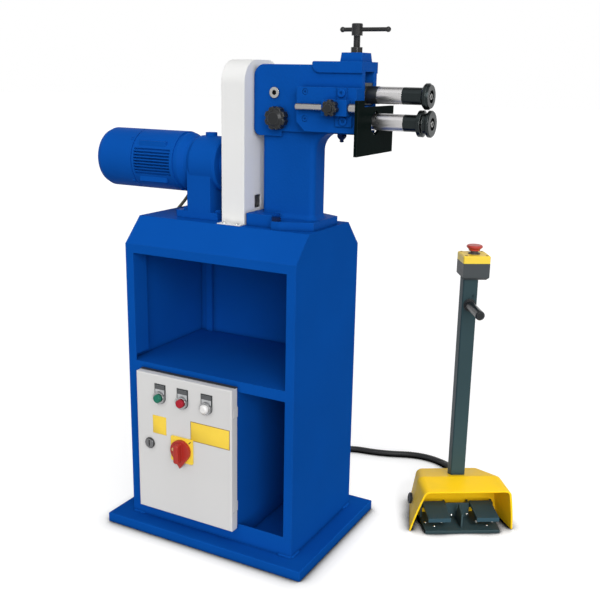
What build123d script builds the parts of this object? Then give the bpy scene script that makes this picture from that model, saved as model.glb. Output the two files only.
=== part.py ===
from build123d import *
import math
import os

# Electric bead roller: a sheet steel stand with a control enclosure, a geared motor, a cast
# head with two geared shafts and rolls, and a separate two-pedal foot station on a cable.
# Millimetres. The origin is under the middle of the base plate; +X points to the rolls,
# +Y to the back of the machine and +Z up.

# Fits
running = 0.05  # radial clearance of a shaft that turns or slides in its bore
thread_gap = 0.1  # radial clearance left for a plain-bored thread
slip = 0.5  # gap between parts that pass each other
break_in = 1  # how far a cross bore runs into the bore it meets
near = 0.1  # tolerance for picking edges by their position

# Stand
base_length = 540
base_depth = 390
base_thickness = 23
base_chamfer = 1.5
stand_width = 450
stand_depth = 304
sheet = 3
eave_z = 701
stand_top = 759
roof_inset = 55
border = 22
sill_z = 421
lintel_z = 681
rail_height = 25
bay_left = 81
bay_bottom = 69
jamb_depth = 45
jamb_foot_gap = 15
lintel_depth = 25
bay_jamb_depth = 20
rib_width = 18
rib_depth = 10
rib_inset = 20
half_w = stand_width / 2
half_d = stand_depth / 2
inner_w = half_w - sheet
inner_d = half_d - sheet
open_w = half_w - border
rail_z = sill_z - rail_height

# Control enclosure and its door
door_left = -184
door_right = 82
door_bottom = 60
door_top = 406
door_depth = 23
door_skin = 2
door_gap = 1
door_corner = 3
flange_thickness = 2
flange_inset = 3
lip_width = 10
box_wall = 2
box_depth = 120
box_inset = 6
hinge_pin_r = 2
knuckle_r = 4
knuckle_height = 24
hinge_inset = 45
hinge_edge = 4.2  # from the door's right face in to the hinge axis
hinge_back = 12  # from the door's rear edge forward to the hinge axis
pin_ear = 8
panel_y = -half_d - flange_thickness - door_gap - door_depth
door_back = panel_y + door_depth
flange_y = -half_d - flange_thickness
box_left = door_left + box_inset
box_right = door_right - box_inset
box_bottom = door_bottom + box_inset
box_top = door_top - box_inset
hinge_x = door_right - hinge_edge
hinge_y = door_back - hinge_back

# Switchgear on its plate inside the enclosure
gear_plate_edge = 14
gear_plate_t = 2
gear_plate_stand_off = 10
gear_post_r = 4
gear_post_edge = 10
row_edge = 22
row_top = 39
row_gap = 16
contactor_width = 44
contactor_height = 75
contactor_depth = 50
contactor_nose_edge = 4
contactor_nose_drop = 16
contactor_nose = 16
relay_height = 78
relay_depth = 60
strip_length = 200
strip_height = 40
strip_gap = 35
strip_depth = 34

# Controls on the door
button_row_z = 353
start_x = -114.5
stop_x = -51
lamp_x = 15.5
bezel_r = 14.5
bezel_height = 9
bezel_neck_r = 11
bezel_tail = 12
button_r = 9.8
button_rise = 7
button_edge = 1.5
button_travel = 4
lamp_r = 10.5
lamp_rise = 9
lamp_edge = 4
switch_x = -54
switch_z = 234.5
switch_size = 62
switch_plate_t = 3
switch_corner = 4
handle_gap = 0.3
handle_r = 26
handle_tip = 43
handle_disc = 9
handle_height = 26
handle_edge = 2
ridge_width = 13
ridge_length = 46
ridge_drop = 2
ridge_end_r = 5
handle_shaft_r = 6
handle_shaft = 16
lock_x = -147
lock_z = 232
lock_r = 13
lock_rise = 5
lock_shank_r = 9
lock_slot = 3
lock_slot_depth = 3
lock_slot_half = 8
lock_edge = 1.5
cam_length = 30
cam_width = 12
cam_t = 2

# Shafts, gears and rolls
shaft_height = 234  # lower shaft above the top of the stand
shaft_centres = 54
head_left = 51
head_right = 308
journal_r = 15
shaft_r = 17.5
seat_r = 12.5
roll_seat_r = 11
roll_r = 27
groove_depth = 5
upper_hub_x = 386
lower_hub_x = 391
rim_x = 437
upper_face_x = 445
lower_face_x = 450
roll_recess_r = 13
roll_recess = 6
roll_edge = 2
bead_half = 3
bead_side = 6
bead_foot = 9
bead_drop = 0.6
bead_side_drop = 3
bead_face_drop = 4
lower_flank = 14
lower_flank_run = 2
shoulder_gap = 4
seat_short = 4
gear_teeth = 17
gear_module = 3
gear_width = 20
gear_seat_end = 5
tooth_depth = 1.25  # tooth sizes in modules
tooth_root = 1.95
tooth_middle = 1.45
tooth_tip = 0.75
gear_x = 23
lower_z = stand_top + shaft_height
upper_z = lower_z + shaft_centres

# Chain drive
chain_pitch = 15.875
sprocket_teeth = 12
chain_links = 26
roller_r = 4.9
sprocket_width = 9
sprocket_root = 6.4
sprocket_root_gap = 0.3
sprocket_side_gap = 1.4
sprocket_tip = 2
sprocket_tip_rise = 3.6
link_height = 13
plate_t = 1.8
link_clearance = 0.6
chain_x = 8
chain_centres = (chain_links - sprocket_teeth) / 2 * chain_pitch
pitch_r = chain_pitch / 2 / math.sin(math.pi / sprocket_teeth)
motor_z = lower_z - chain_centres

# Chain guard
guard_left = -9
guard_right = 50
guard_half = 75
guard_rise = 68
guard_sheet = 2
guard_corner = 50
guard_flange = 20
guard_clearance = 6
window_front = -31
window_back = -6
window_bottom = 33
window_top = 62
guard_top = upper_z + guard_rise

# Geared motor
motor_r = 70
cowl_end = -377
cowl_joint = -270
cowl_wall = 2
cowl_edge = 15
grille_slots = 10
grille_r = 30
grille_length = 26
grille_width = 6
spigot = 8
seam = 3
motor_front = -150
fin_count = 9
fin_pitch = 7
fin_gap = 4
fin_depth = 11
fin_start = -262
fin_end = -158
pad_left = -250
pad_right = -172
frame_pad_face = 60.5
frame_pad_low = 35
frame_pad_high = 47
gearbox_right = -12
gearbox_r = 63
gearbox_neck_r = 56
gearbox_edge = 4
gear_flange_r = 67
gear_flange_t = 10
neck_start = 22
neck_end = 30
barrel_start = 42
nose_r = 40
nose_left = -40
gear_foot_left = -147
gear_foot_right = -33
gear_foot_half = 58
gear_foot_t = 16
pedestal_left = -116
pedestal_right = -52
filler_x = -86
filler_r = 13.5
filler_rise = 70.5
terminal_left = -235
terminal_right = -155
terminal_back = 112
terminal_height = 72

# Head casting
head_half = 36
head_rise = 59
head_drop = 27
tail_drop = 11
tail_right = 120
head_radius = 26
tail_radius = 16
column_left = 68
column_right = 198
column_half = 30
column_edge = 12
throat_r = 40
foot_t = 18
foot_left = 53
foot_right = 215
foot_half = 71
foot_end_half = 58
lug_left = 122
lug_right = 146
lug_half = 89
lug_slope = 4
pad_top = 27
foot_fillet = 12
rib_left = 194
rib_rise = 7
rib_height = 23
rib_half = 40
rib_lower_r = 16
rib_upper_r = 4
channel_half = 22
channel_floor_drop = 22.5
channel_rise = 46
bore_r = 22
bush_length = 45
boss_size = 50
boss_height = 18
boss_taper = 6.8
head_under = lower_z - head_drop
head_top = upper_z + head_rise
tail_under = head_under - tail_drop
rib_top = head_top + rib_rise
rib_under = rib_top - rib_height
channel_top = upper_z + channel_rise

# Upper bearing blocks and pressure gear
pivot_x = 103
block_half = 21.5
rear_block_length = 40
rear_block_half_h = 20
front_block_length = 40
block_drop = 20
block_rise = 24
block_setback = 2
nose_sleeve_r = 18
nose_sleeve_end = 331
trunnion_head_r = 11.5
trunnion_head = 4
trunnion_shank_r = 9
trunnion_pin_r = 7
trunnion_socket = 10
trunnion_socket_depth = 6
trunnion_tip_gap = 0.7
screw_x = 276
screw_r = 7
pad_r = 12
pad_height = 6
pad_crown = 1.4
spigot_r = 3
spigot_length = 3.5
nut_across = 23
nut_height = 11
hub_gap = 34
hub_height = 24
hub_r = 11.5
hub_edge = 1.5
bar_r = 4.25
ball_r = 5.75
bar_left = 243
bar_right = 345
spring_x = 286
spring_r = 7
spring_wire = 2
spring_pocket = 7
spring_turns = 3
hub_bottom = rib_top + boss_height + hub_gap
hub_top = hub_bottom + hub_height

# Back stop
bracket_left = 170
bracket_drop = 23
bracket_rise = 14
bracket_depth = 26
bracket_chamfer = 20
rod_r = 7
rod_left = 176
rod_stand_off = 12
rod_rise = 28
rod_edge = 1
collar_left = 300
collar_r = 9.5
clamp_left = 240
clamp_right = 297
clamp_half = 16
clamp_depth = 23
plate_left = 319
plate_thick = 7
plate_half = 92
plate_height = 98
plate_drop = 67
ear_height = 13
ear_width = 32
hex_r = 27
hex_drop = 3
pad_raise = 3.5
upper_pad_left = 265
upper_pad_right = 287
lower_pad_left = 263
lower_pad_right = 300
lower_pad_rise = 13
countersink_r = 6.5
countersink = 5
countersink_inset = 20
countersink_top = 10
countersink_foot = 26
stop_knob_x = 264
stop_knob_r = 17
stop_knob_height = 14
stop_knob_lobes = 7
stop_stem_r = 4
stop_knob_gap = 1
shaft_knob_x = 116
shaft_knob_rise = 1
shaft_knob_r = 25
shaft_knob_height = 18
shaft_knob_lobes = 8
shaft_knob_gap = 8
shaft_collar_r = 11
shaft_stem_r = 6
shaft_stem = 20
notch_r = 5
notch_out = 2
knob_edge = 2
knob_dome = 4
bolt_x = 134
bolt_y = 78
bolt_across = 19
bolt_head = 8
bolt_r = 6
under_bolt_shank = 4
under_bolt_x = 248
bracket_bottom = lower_z - bracket_drop
bracket_top = upper_z + bracket_rise
rod_z = lower_z + rod_rise
plate_bottom = lower_z - plate_drop
plate_top = plate_bottom + plate_height
hex_z = lower_z - hex_drop
shaft_knob_z = lower_z + shaft_knob_rise

# Foot station, set at an angle in front of the stand's right side
station_x = 509.7
station_y = 202.8
station_turn = 32
foot_base_half = 92.5
foot_base_front = -14
foot_base_t = 8
hood_foot_v = 4
hood_lip_v = -40
hood_lip_half = 138
hood_lip_top_half = 104
hood_lip_z = 126
hood_crease_v = 50
hood_crease_half = 121
hood_crease_top_half = 104
hood_crease_z = 122.5
hood_back_v = 168
hood_back_half = 98
hood_back_top_half = 83
hood_back_z = 88
hood_wall = 4
hood_corner = 16
bulkhead_v = 84
bulkhead_t = 3
web_front = 0
web_front_z = 42
web_peak_v = 34
web_peak_z = 54
web_back = 56
web_t = 4
pole_size = 36
pole_wall = 3
pole_corner = 4
pole_v = 87
pole_top = 622
grip_r = 11
grip_drop = 62
grip_length = 100
grip_edge = 3
grip_flange_r = 15
grip_flange = 4
pedal_inner = 32
pedal_outer = 88
pedal_front = -18
pedal_front_z = 43.5
pedal_back = 66
pedal_back_z = 47
pedal_t = 5
pedal_root = 7
pedal_lip = 10
pivot_v = 68
pivot_z = 36
pivot_r = 4
pivot_boss_r = 7
ear_t = 4.5
ear_v_half = 10
ear_rise = 8
housing_front = 108
housing_back = 158
housing_half = 84
housing_top = 66
estop_size = 63.5
estop_height = 40
estop_u = 9
estop_v = 92
estop_edge = 6
lid_size = 65
lid_height = 18
lid_edge = 4
lid_round = 2
mushroom_r = 19
mushroom_neck_r = 13.5
mushroom_t = 13
mushroom_rim = 3
mushroom_bevel = 2
mushroom_lift = 8
mushroom_stem_r = 9
mushroom_room = 2
mushroom_well = 14

# Cables and glands
cable_r = 8
lead_r = 4
gland_r = 12
gland_length = 22
gland_nose = 0.8
gland_nut = 0.6
lead_gland_r = 8
lead_gland_length = 16
bend_share = 0.45  # part of the shorter run that a bend takes up
cable_gland_x = -60
mains_gland_x = -140
panel_gland_z = 60
station_gland_u = 42
station_gland_z = 30
lead_gland_y = 86
lead_top_y = 86
lead_gland_z = 655

grip_z = pole_top - grip_drop

os.makedirs("parts", exist_ok=True)


def keep(builder, node):
    builder.part.label = node
    export_step(builder.part, f"parts/{node}.step")


def block(x0, x1, y0, y1, z0, z1, mode=Mode.ADD):
    with Locations(((x0 + x1) / 2, (y0 + y1) / 2, (z0 + z1) / 2)):
        Box(x1 - x0, y1 - y0, z1 - z0, mode=mode)


def rod(start, axis, radius, length, mode=Mode.ADD):
    with Locations(Plane(origin=start, z_dir=axis)):
        Cylinder(radius, length, align=(Align.CENTER, Align.CENTER, Align.MIN), mode=mode)


def along_x(x0, x1, z, radius, mode=Mode.ADD):
    rod((x0, 0, z), (1, 0, 0), radius, x1 - x0, mode)


def toothed(teeth, first, flank):
    points = []
    for tooth in range(teeth):
        middle = math.radians(first + 360 * tooth / teeth)
        for radius, width in flank:
            turn = middle - width / 2 / radius
            points.append((radius * math.cos(turn), radius * math.sin(turn)))
        for radius, width in reversed(flank):
            turn = middle + width / 2 / radius
            points.append((radius * math.cos(turn), radius * math.sin(turn)))
    return points


def bend_radii(points):
    radii = []
    for before, here, after in zip(points, points[1:], points[2:]):
        run_in = Vector(*here) - Vector(*before)
        run_out = Vector(*after) - Vector(*here)
        half_turn = math.radians(run_in.get_angle(run_out)) / 2
        radii.append(bend_share * min(run_in.length, run_out.length) / math.tan(half_turn))
    return radii


# Stand: base plate, two gabled side panels, back panel, front frame and folded top
with BuildPart() as base_plate:
    block(-base_length / 2, base_length / 2, -base_depth / 2, base_depth / 2, 0, base_thickness)
    chamfer(base_plate.edges().group_by(Axis.Z)[-1], length=base_chamfer)
keep(base_plate, "base_plate")

gable = [
    (-half_d, base_thickness),
    (half_d, base_thickness),
    (half_d, eave_z),
    (half_d - roof_inset, stand_top),
    (-half_d + roof_inset, stand_top),
    (-half_d, eave_z),
]

with BuildPart() as left_panel:
    with BuildSketch(Plane.YZ.offset(-half_w)):
        Polygon(*gable, align=None)
    extrude(amount=sheet)
keep(left_panel, "left_panel")

with BuildPart() as right_panel:
    with BuildSketch(Plane.YZ.offset(inner_w)):
        Polygon(*gable, align=None)
    extrude(amount=sheet)
keep(right_panel, "right_panel")

with BuildPart() as back_panel:
    block(-inner_w, inner_w, inner_d, half_d, base_thickness, eave_z)
    for side in (-1, 1):
        rib_mid = side * (inner_w - rib_inset - rib_width / 2)
        rib_from = rib_mid - rib_width / 2
        block(rib_from, rib_from + rib_width, inner_d - rib_depth, inner_d, sill_z, eave_z)
keep(back_panel, "back_panel")

with BuildPart() as front_frame:
    block(-inner_w, inner_w, -half_d, -inner_d, base_thickness, eave_z)
    block(-open_w, open_w, -half_d, -inner_d, sill_z, lintel_z, Mode.SUBTRACT)
    block(bay_left, open_w, -half_d, -inner_d, bay_bottom, rail_z, Mode.SUBTRACT)
    block(box_left, box_right, -half_d, -inner_d, box_bottom, box_top, Mode.SUBTRACT)
    jamb_back = -inner_d + jamb_depth
    jamb_foot = sill_z + jamb_foot_gap
    block(-open_w - sheet, -open_w, -inner_d, jamb_back, jamb_foot, lintel_z)
    block(open_w, open_w + sheet, -inner_d, jamb_back, jamb_foot, lintel_z)
    lintel_end = open_w + sheet
    lintel_back = -inner_d + lintel_depth
    block(-lintel_end, lintel_end, -inner_d, lintel_back, lintel_z, lintel_z + sheet)
    block(open_w, open_w + sheet, -inner_d, -inner_d + bay_jamb_depth, bay_bottom, rail_z)
keep(front_frame, "front_frame")

with BuildPart() as top_cover:
    with BuildSketch(Plane.YZ.offset(-inner_w)):
        Polygon(*gable[2:], align=None)
        with Locations((0, -sheet)):
            Polygon(*gable[2:], align=None, mode=Mode.SUBTRACT)
    extrude(amount=2 * inner_w)
keep(top_cover, "top_cover")

with BuildPart() as shelf:
    block(-inner_w, inner_w, -inner_d, inner_d, sill_z - sheet, sill_z)
keep(shelf, "shelf")

with BuildPart() as bay_divider:
    block(bay_left - sheet, bay_left, -inner_d, inner_d, base_thickness, sill_z - sheet)
keep(bay_divider, "bay_divider")

# Control enclosure: a box let into the front frame, with a flange that the door closes on
with BuildPart() as enclosure_box:
    box_back = -half_d + box_depth
    block(box_left, box_right, -half_d, box_back, box_bottom, box_top)
    block(
        door_left + flange_inset, door_right - flange_inset, flange_y, -half_d,
        door_bottom + flange_inset, door_top - flange_inset,
    )
    block(
        box_left + lip_width, box_right - lip_width, flange_y, -half_d,
        box_bottom + lip_width, box_top - lip_width, Mode.SUBTRACT,
    )
    block(
        box_left + box_wall, box_right - box_wall, -half_d, box_back - box_wall,
        box_bottom + box_wall, box_top - box_wall, Mode.SUBTRACT,
    )
    for knuckle_z in (door_bottom + hinge_inset, door_top - hinge_inset - knuckle_height):
        block(
            hinge_x - knuckle_r, hinge_x + knuckle_r, hinge_y, -half_d,
            knuckle_z, knuckle_z + knuckle_height,
        )
        rod((hinge_x, hinge_y, knuckle_z), (0, 0, 1), knuckle_r, knuckle_height)
        rod(
            (hinge_x, hinge_y, knuckle_z), (0, 0, 1), hinge_pin_r + running, knuckle_height,
            Mode.SUBTRACT,
        )
keep(enclosure_box, "enclosure_box")

# Door: a folded pan that turns on two pins at its right edge
with BuildPart() as enclosure_door:
    block(door_left, door_right, panel_y, door_back, door_bottom, door_top)
    fillet(enclosure_door.faces().sort_by(Axis.Y)[0].edges(), radius=door_corner)
    block(
        door_left + door_skin, door_right - door_skin, panel_y + door_skin, door_back,
        door_bottom + door_skin, door_top - door_skin, Mode.SUBTRACT,
    )
    notch_y = hinge_y - knuckle_r - 2 * slip
    for knuckle_z in (door_bottom + hinge_inset, door_top - hinge_inset - knuckle_height):
        block(
            hinge_x - door_skin, door_right, notch_y, door_back,
            knuckle_z - slip, knuckle_z + knuckle_height + slip, Mode.SUBTRACT,
        )
        pin_foot = knuckle_z - pin_ear
        pin_top = knuckle_z + knuckle_height + pin_ear
        rod((hinge_x, hinge_y, pin_foot), (0, 0, 1), hinge_pin_r, pin_top - pin_foot)
        for ear_foot in (pin_foot, pin_top - pin_ear + slip):
            block(
                hinge_x - hinge_pin_r, door_right - door_skin / 2, hinge_y - hinge_pin_r,
                hinge_y + hinge_pin_r, ear_foot, ear_foot + pin_ear - slip,
            )
    for button_x in (start_x, stop_x, lamp_x):
        rod(
            (button_x, panel_y, button_row_z), (0, 1, 0), bezel_neck_r, door_skin,
            Mode.SUBTRACT,
        )
    rod(
        (switch_x, panel_y, switch_z), (0, 1, 0), handle_shaft_r + running, door_skin,
        Mode.SUBTRACT,
    )
    rod((lock_x, panel_y, lock_z), (0, 1, 0), lock_shank_r + running, door_skin, Mode.SUBTRACT)
keep(enclosure_door, "enclosure_door")

# Mounting plate with two contactors, an overload relay and two terminal strips
with BuildPart() as control_gear:
    gear_back = -half_d + box_depth - box_wall
    gear_face = gear_back - gear_plate_stand_off
    gear_rear = gear_face + gear_plate_t
    gear_left = box_left + gear_plate_edge
    gear_right = box_right - gear_plate_edge
    gear_bottom = box_bottom + gear_plate_edge
    gear_top = box_top - gear_plate_edge
    block(gear_left, gear_right, gear_face, gear_rear, gear_bottom, gear_top)
    for post_x in (gear_left + gear_post_edge, gear_right - gear_post_edge):
        for post_z in (gear_bottom + gear_post_edge, gear_top - gear_post_edge):
            rod((post_x, gear_rear, post_z), (0, 1, 0), gear_post_r, gear_back - gear_rear)
    row_left = gear_left + row_edge
    row_step = contactor_width + row_gap
    row_head = gear_top - row_top
    for unit_x in (row_left, row_left + row_step):
        block(
            unit_x, unit_x + contactor_width, gear_face - contactor_depth, gear_face,
            row_head - contactor_height, row_head,
        )
        block(
            unit_x + contactor_nose_edge, unit_x + contactor_width - contactor_nose_edge,
            gear_face - contactor_depth - contactor_nose, gear_face - contactor_depth,
            row_head - contactor_height + contactor_nose_drop, row_head - contactor_nose_drop,
        )
    relay_x = row_left + 2 * row_step
    block(
        relay_x, relay_x + contactor_width, gear_face - relay_depth, gear_face,
        row_head - relay_height, row_head,
    )
    for strip_z in (gear_bottom + strip_gap, gear_bottom + 2 * strip_gap + strip_height):
        block(
            gear_left + gear_plate_edge, gear_left + gear_plate_edge + strip_length,
            gear_face - strip_depth, gear_face, strip_z, strip_z + strip_height,
        )
keep(control_gear, "control_gear")

# Push buttons and pilot lamp in their bezels
with BuildPart() as button_bezels:
    for button_x in (start_x, stop_x, lamp_x):
        rod((button_x, panel_y, button_row_z), (0, -1, 0), bezel_r, bezel_height)
        rod((button_x, panel_y, button_row_z), (0, 1, 0), bezel_neck_r, bezel_tail)
    for button_x in (start_x, stop_x):
        rod(
            (button_x, panel_y - bezel_height, button_row_z), (0, 1, 0), button_r + running,
            bezel_height + bezel_tail, Mode.SUBTRACT,
        )
    rod(
        (lamp_x, panel_y - bezel_height, button_row_z), (0, 1, 0), lamp_r, bezel_height,
        Mode.SUBTRACT,
    )
keep(button_bezels, "button_bezels")

with BuildPart() as start_button:
    button_face = panel_y - bezel_height - button_rise
    button_length = button_rise + bezel_height + bezel_tail - button_travel
    rod((start_x, button_face, button_row_z), (0, 1, 0), button_r, button_length)
    chamfer(start_button.edges().group_by(Axis.Y)[0], length=button_edge)
keep(start_button, "start_button")

with BuildPart() as stop_button:
    rod((stop_x, button_face, button_row_z), (0, 1, 0), button_r, button_length)
    chamfer(stop_button.edges().group_by(Axis.Y)[0], length=button_edge)
keep(stop_button, "stop_button")

with BuildPart() as pilot_lamp:
    lamp_face = panel_y - bezel_height - lamp_rise
    rod((lamp_x, lamp_face, button_row_z), (0, 1, 0), lamp_r, lamp_rise + bezel_height)
    chamfer(pilot_lamp.edges().group_by(Axis.Y)[0], length=lamp_edge)
keep(pilot_lamp, "pilot_lamp")

# Main switch: square plate and a pointed rotary handle with a raised grip
with BuildPart() as switch_plate:
    with BuildSketch(Plane(origin=(switch_x, panel_y, switch_z), z_dir=(0, -1, 0))):
        RectangleRounded(switch_size, switch_size, switch_corner)
        Circle(handle_shaft_r + running, mode=Mode.SUBTRACT)
    extrude(amount=switch_plate_t)
keep(switch_plate, "switch_plate")

with BuildPart() as switch_handle:
    handle_back = panel_y - switch_plate_t - handle_gap
    handle_plane = Plane(
        origin=(switch_x, handle_back, switch_z), x_dir=(1, 0, 0), z_dir=(0, -1, 0)
    )
    with BuildSketch(handle_plane):
        Circle(handle_r)
        spread = handle_r * math.cos(math.asin(handle_r / handle_tip))
        sink = handle_r * handle_r / handle_tip
        Polygon((-spread, -sink), (0, -handle_tip), (spread, -sink), align=None)
    extrude(amount=handle_disc)
    with BuildSketch(handle_plane.offset(handle_disc)):
        with Locations((0, -ridge_drop)):
            RectangleRounded(ridge_width, ridge_length, ridge_end_r)
    extrude(amount=handle_height - handle_disc)
    chamfer(switch_handle.edges().group_by(Axis.Y)[0], length=handle_edge)
    rod((switch_x, handle_back, switch_z), (0, 1, 0), handle_shaft_r, handle_shaft)
keep(switch_handle, "switch_handle")

# Quarter-turn lock: slotted head, shank and cam behind the door skin
with BuildPart() as door_lock:
    rod((lock_x, panel_y, lock_z), (0, -1, 0), lock_r, lock_rise)
    chamfer(door_lock.edges().group_by(Axis.Y)[0], length=lock_edge)
    block(
        lock_x - lock_slot / 2, lock_x + lock_slot / 2, panel_y - lock_rise,
        panel_y - lock_rise + lock_slot_depth, lock_z - lock_slot_half, lock_z + lock_slot_half,
        Mode.SUBTRACT,
    )
    cam_y = -half_d + slip
    rod((lock_x, panel_y, lock_z), (0, 1, 0), lock_shank_r, cam_y - panel_y)
    block(
        lock_x - cam_width / 2, lock_x + cam_width / 2, cam_y, cam_y + cam_t,
        lock_z - cam_width / 2, lock_z - cam_width / 2 + cam_length,
    )
keep(door_lock, "door_lock")

# Geared motor: finned motor frame with terminal box, fan cowl and gearbox on its foot
motor_axis = Axis((0, 0, motor_z), (1, 0, 0))

with BuildPart() as motor_frame:
    along_x(cowl_joint - spigot, cowl_joint + seam, motor_z, motor_r - cowl_wall)
    along_x(cowl_joint + seam, motor_front, motor_z, motor_r)
    fin_mid = (fin_start + fin_end) / 2
    fin_floor = motor_r - fin_depth
    for side in (-1, 1):
        for fin in range(fin_count):
            fin_z = motor_z + fin_pitch * (fin - fin_count // 2)
            with Locations((fin_mid, side * (fin_floor + fin_depth), fin_z)):
                Box(fin_end - fin_start, 2 * fin_depth, fin_gap, mode=Mode.SUBTRACT)
        pad_near = min(side * frame_pad_low, side * frame_pad_face)
        pad_far = max(side * frame_pad_low, side * frame_pad_face)
        for pad_z in (motor_z - frame_pad_high, motor_z + frame_pad_low):
            block(
                pad_left, pad_right, pad_near, pad_far, pad_z,
                pad_z + frame_pad_high - frame_pad_low,
            )
    block(
        terminal_left, terminal_right, fin_floor - fin_depth, terminal_back,
        motor_z - terminal_height / 2, motor_z + terminal_height / 2,
    )
keep(motor_frame, "motor_frame")

with BuildPart() as fan_cowl:
    with BuildSketch(Plane.XZ):
        with BuildLine():
            cowl_rim = cowl_end + cowl_edge
            cowl_face = motor_r - cowl_edge
            cowl_turn = cowl_edge * (1 - math.sqrt(0.5))
            Polyline(
                (cowl_joint, motor_z),
                (cowl_joint, motor_z + motor_r),
                (cowl_rim, motor_z + motor_r),
                (cowl_end + cowl_turn, motor_z + motor_r - cowl_turn),
                (cowl_end, motor_z + cowl_face),
                (cowl_end, motor_z),
                close=True,
            )
        make_face()
    revolve(axis=motor_axis)
    offset(
        amount=-cowl_wall, openings=fan_cowl.faces().sort_by(Axis.X)[-1], kind=Kind.INTERSECTION
    )
    with BuildSketch(Plane.YZ.offset(cowl_end)):
        with Locations((0, motor_z)):
            with PolarLocations(grille_r, grille_slots):
                Rectangle(grille_length, grille_width)
    extrude(amount=cowl_wall, mode=Mode.SUBTRACT)
keep(fan_cowl, "fan_cowl")

with BuildPart() as gearbox_housing:
    with BuildSketch(Plane.XZ):
        Polygon(
            (motor_front, motor_z),
            (motor_front, motor_z + gear_flange_r),
            (motor_front + gear_flange_t, motor_z + gear_flange_r),
            (motor_front + neck_start, motor_z + gearbox_neck_r),
            (motor_front + neck_end, motor_z + gearbox_neck_r),
            (motor_front + barrel_start, motor_z + gearbox_r),
            (nose_left - gearbox_edge, motor_z + gearbox_r),
            (nose_left, motor_z + gearbox_r - gearbox_edge),
            (nose_left, motor_z + nose_r),
            (gearbox_right, motor_z + nose_r),
            (gearbox_right, motor_z),
            align=None,
        )
    revolve(axis=motor_axis)
    foot_top = stand_top + gear_foot_t
    block(pedestal_left, pedestal_right, -gear_foot_half, gear_foot_half, foot_top, motor_z)
    block(
        gear_foot_left, gear_foot_right, -gear_foot_half, gear_foot_half, stand_top, foot_top
    )
    rod((filler_x, 0, motor_z), (0, 0, 1), filler_r, filler_rise)
    along_x(nose_left, gearbox_right, motor_z, seat_r + running, Mode.SUBTRACT)
keep(gearbox_housing, "gearbox_housing")

# Chain drive: output shaft, two sprockets and the roller chain around them
with BuildPart() as output_shaft:
    along_x(nose_left, chain_x + sprocket_width, motor_z, seat_r)
keep(output_shaft, "output_shaft")

sprocket_flank = [
    (pitch_r - roller_r - sprocket_root_gap, sprocket_root),
    (pitch_r, chain_pitch - 2 * roller_r - sprocket_side_gap),
    (pitch_r + sprocket_tip_rise, sprocket_tip),
]
sprocket_teeth_outline = toothed(sprocket_teeth, 180 / sprocket_teeth, sprocket_flank)

with BuildPart() as drive_sprocket:
    with BuildSketch(Plane.YZ.offset(chain_x - sprocket_width / 2)):
        with Locations((0, motor_z)):
            Polygon(*sprocket_teeth_outline, align=None)
            Circle(seat_r, mode=Mode.SUBTRACT)
    extrude(amount=sprocket_width)
keep(drive_sprocket, "drive_sprocket")

with BuildPart() as driven_sprocket:
    with BuildSketch(Plane.YZ.offset(chain_x - sprocket_width / 2)):
        with Locations((0, lower_z)):
            Polygon(*sprocket_teeth_outline, align=None)
            Circle(seat_r, mode=Mode.SUBTRACT)
    extrude(amount=sprocket_width)
keep(driven_sprocket, "driven_sprocket")

with BuildPart() as drive_chain:
    plate_gap = sprocket_width / 2 + link_clearance
    for plate_x in (chain_x - plate_gap - plate_t, chain_x + plate_gap):
        with BuildSketch(Plane.YZ.offset(plate_x)):
            with Locations((0, (lower_z + motor_z) / 2)):
                SlotCenterToCenter(chain_centres, 2 * pitch_r + link_height, rotation=90)
                SlotCenterToCenter(
                    chain_centres, 2 * pitch_r - link_height, rotation=90, mode=Mode.SUBTRACT
                )
        extrude(amount=plate_t)
    roller_spots = []
    wrap = sprocket_teeth // 2
    for step in range(wrap + 1):
        turn = math.pi * step / wrap
        roller_spots.append((pitch_r * math.cos(turn), lower_z + pitch_r * math.sin(turn)))
        roller_spots.append((pitch_r * math.cos(turn), motor_z - pitch_r * math.sin(turn)))
    for step in range(1, chain_links // 2 - wrap):
        roller_spots.append((pitch_r, motor_z + step * chain_pitch))
        roller_spots.append((-pitch_r, motor_z + step * chain_pitch))
    for spot_y, spot_z in roller_spots:
        rod((chain_x - plate_gap, spot_y, spot_z), (1, 0, 0), roller_r, 2 * plate_gap)
keep(drive_chain, "drive_chain")

# Chain guard: bent sheet cover with a passage for the shafts and a window near its foot
with BuildPart() as chain_guard:
    guard_middle = (stand_top + guard_top) / 2
    with BuildSketch(Plane.YZ.offset(guard_left)) as guard_outer:
        with Locations((0, guard_middle)):
            Rectangle(2 * guard_half, guard_top - stand_top)
        fillet(guard_outer.vertices().group_by(Axis.Y)[-1], radius=guard_corner)
    extrude(amount=guard_right - guard_left)
    with BuildSketch(Plane.YZ.offset(guard_left + guard_sheet)) as guard_inner:
        with Locations((0, guard_middle - guard_sheet)):
            Rectangle(2 * (guard_half - guard_sheet), guard_top - stand_top)
        fillet(guard_inner.vertices().group_by(Axis.Y)[-1], radius=guard_corner - guard_sheet)
    extrude(amount=guard_right - guard_left - 2 * guard_sheet, mode=Mode.SUBTRACT)
    left_slot = seat_r + guard_clearance
    right_slot = journal_r + guard_clearance
    block(
        guard_left, guard_left + guard_sheet, -left_slot, left_slot, stand_top,
        motor_z + left_slot, Mode.SUBTRACT,
    )
    with BuildSketch(Plane.YZ.offset(guard_right - guard_sheet)):
        with Locations((0, (lower_z + upper_z) / 2)):
            SlotCenterToCenter(shaft_centres, 2 * right_slot, rotation=90)
    extrude(amount=guard_sheet, mode=Mode.SUBTRACT)
    block(
        guard_right - guard_sheet, guard_right, window_front, window_back,
        stand_top + window_bottom, stand_top + window_top, Mode.SUBTRACT,
    )
    for side in (-1, 1):
        flange_from = min(side * guard_half, side * (guard_half + guard_flange))
        block(
            guard_left, guard_right, flange_from, flange_from + guard_flange, stand_top,
            stand_top + guard_sheet,
        )
keep(chain_guard, "chain_guard")

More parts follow.
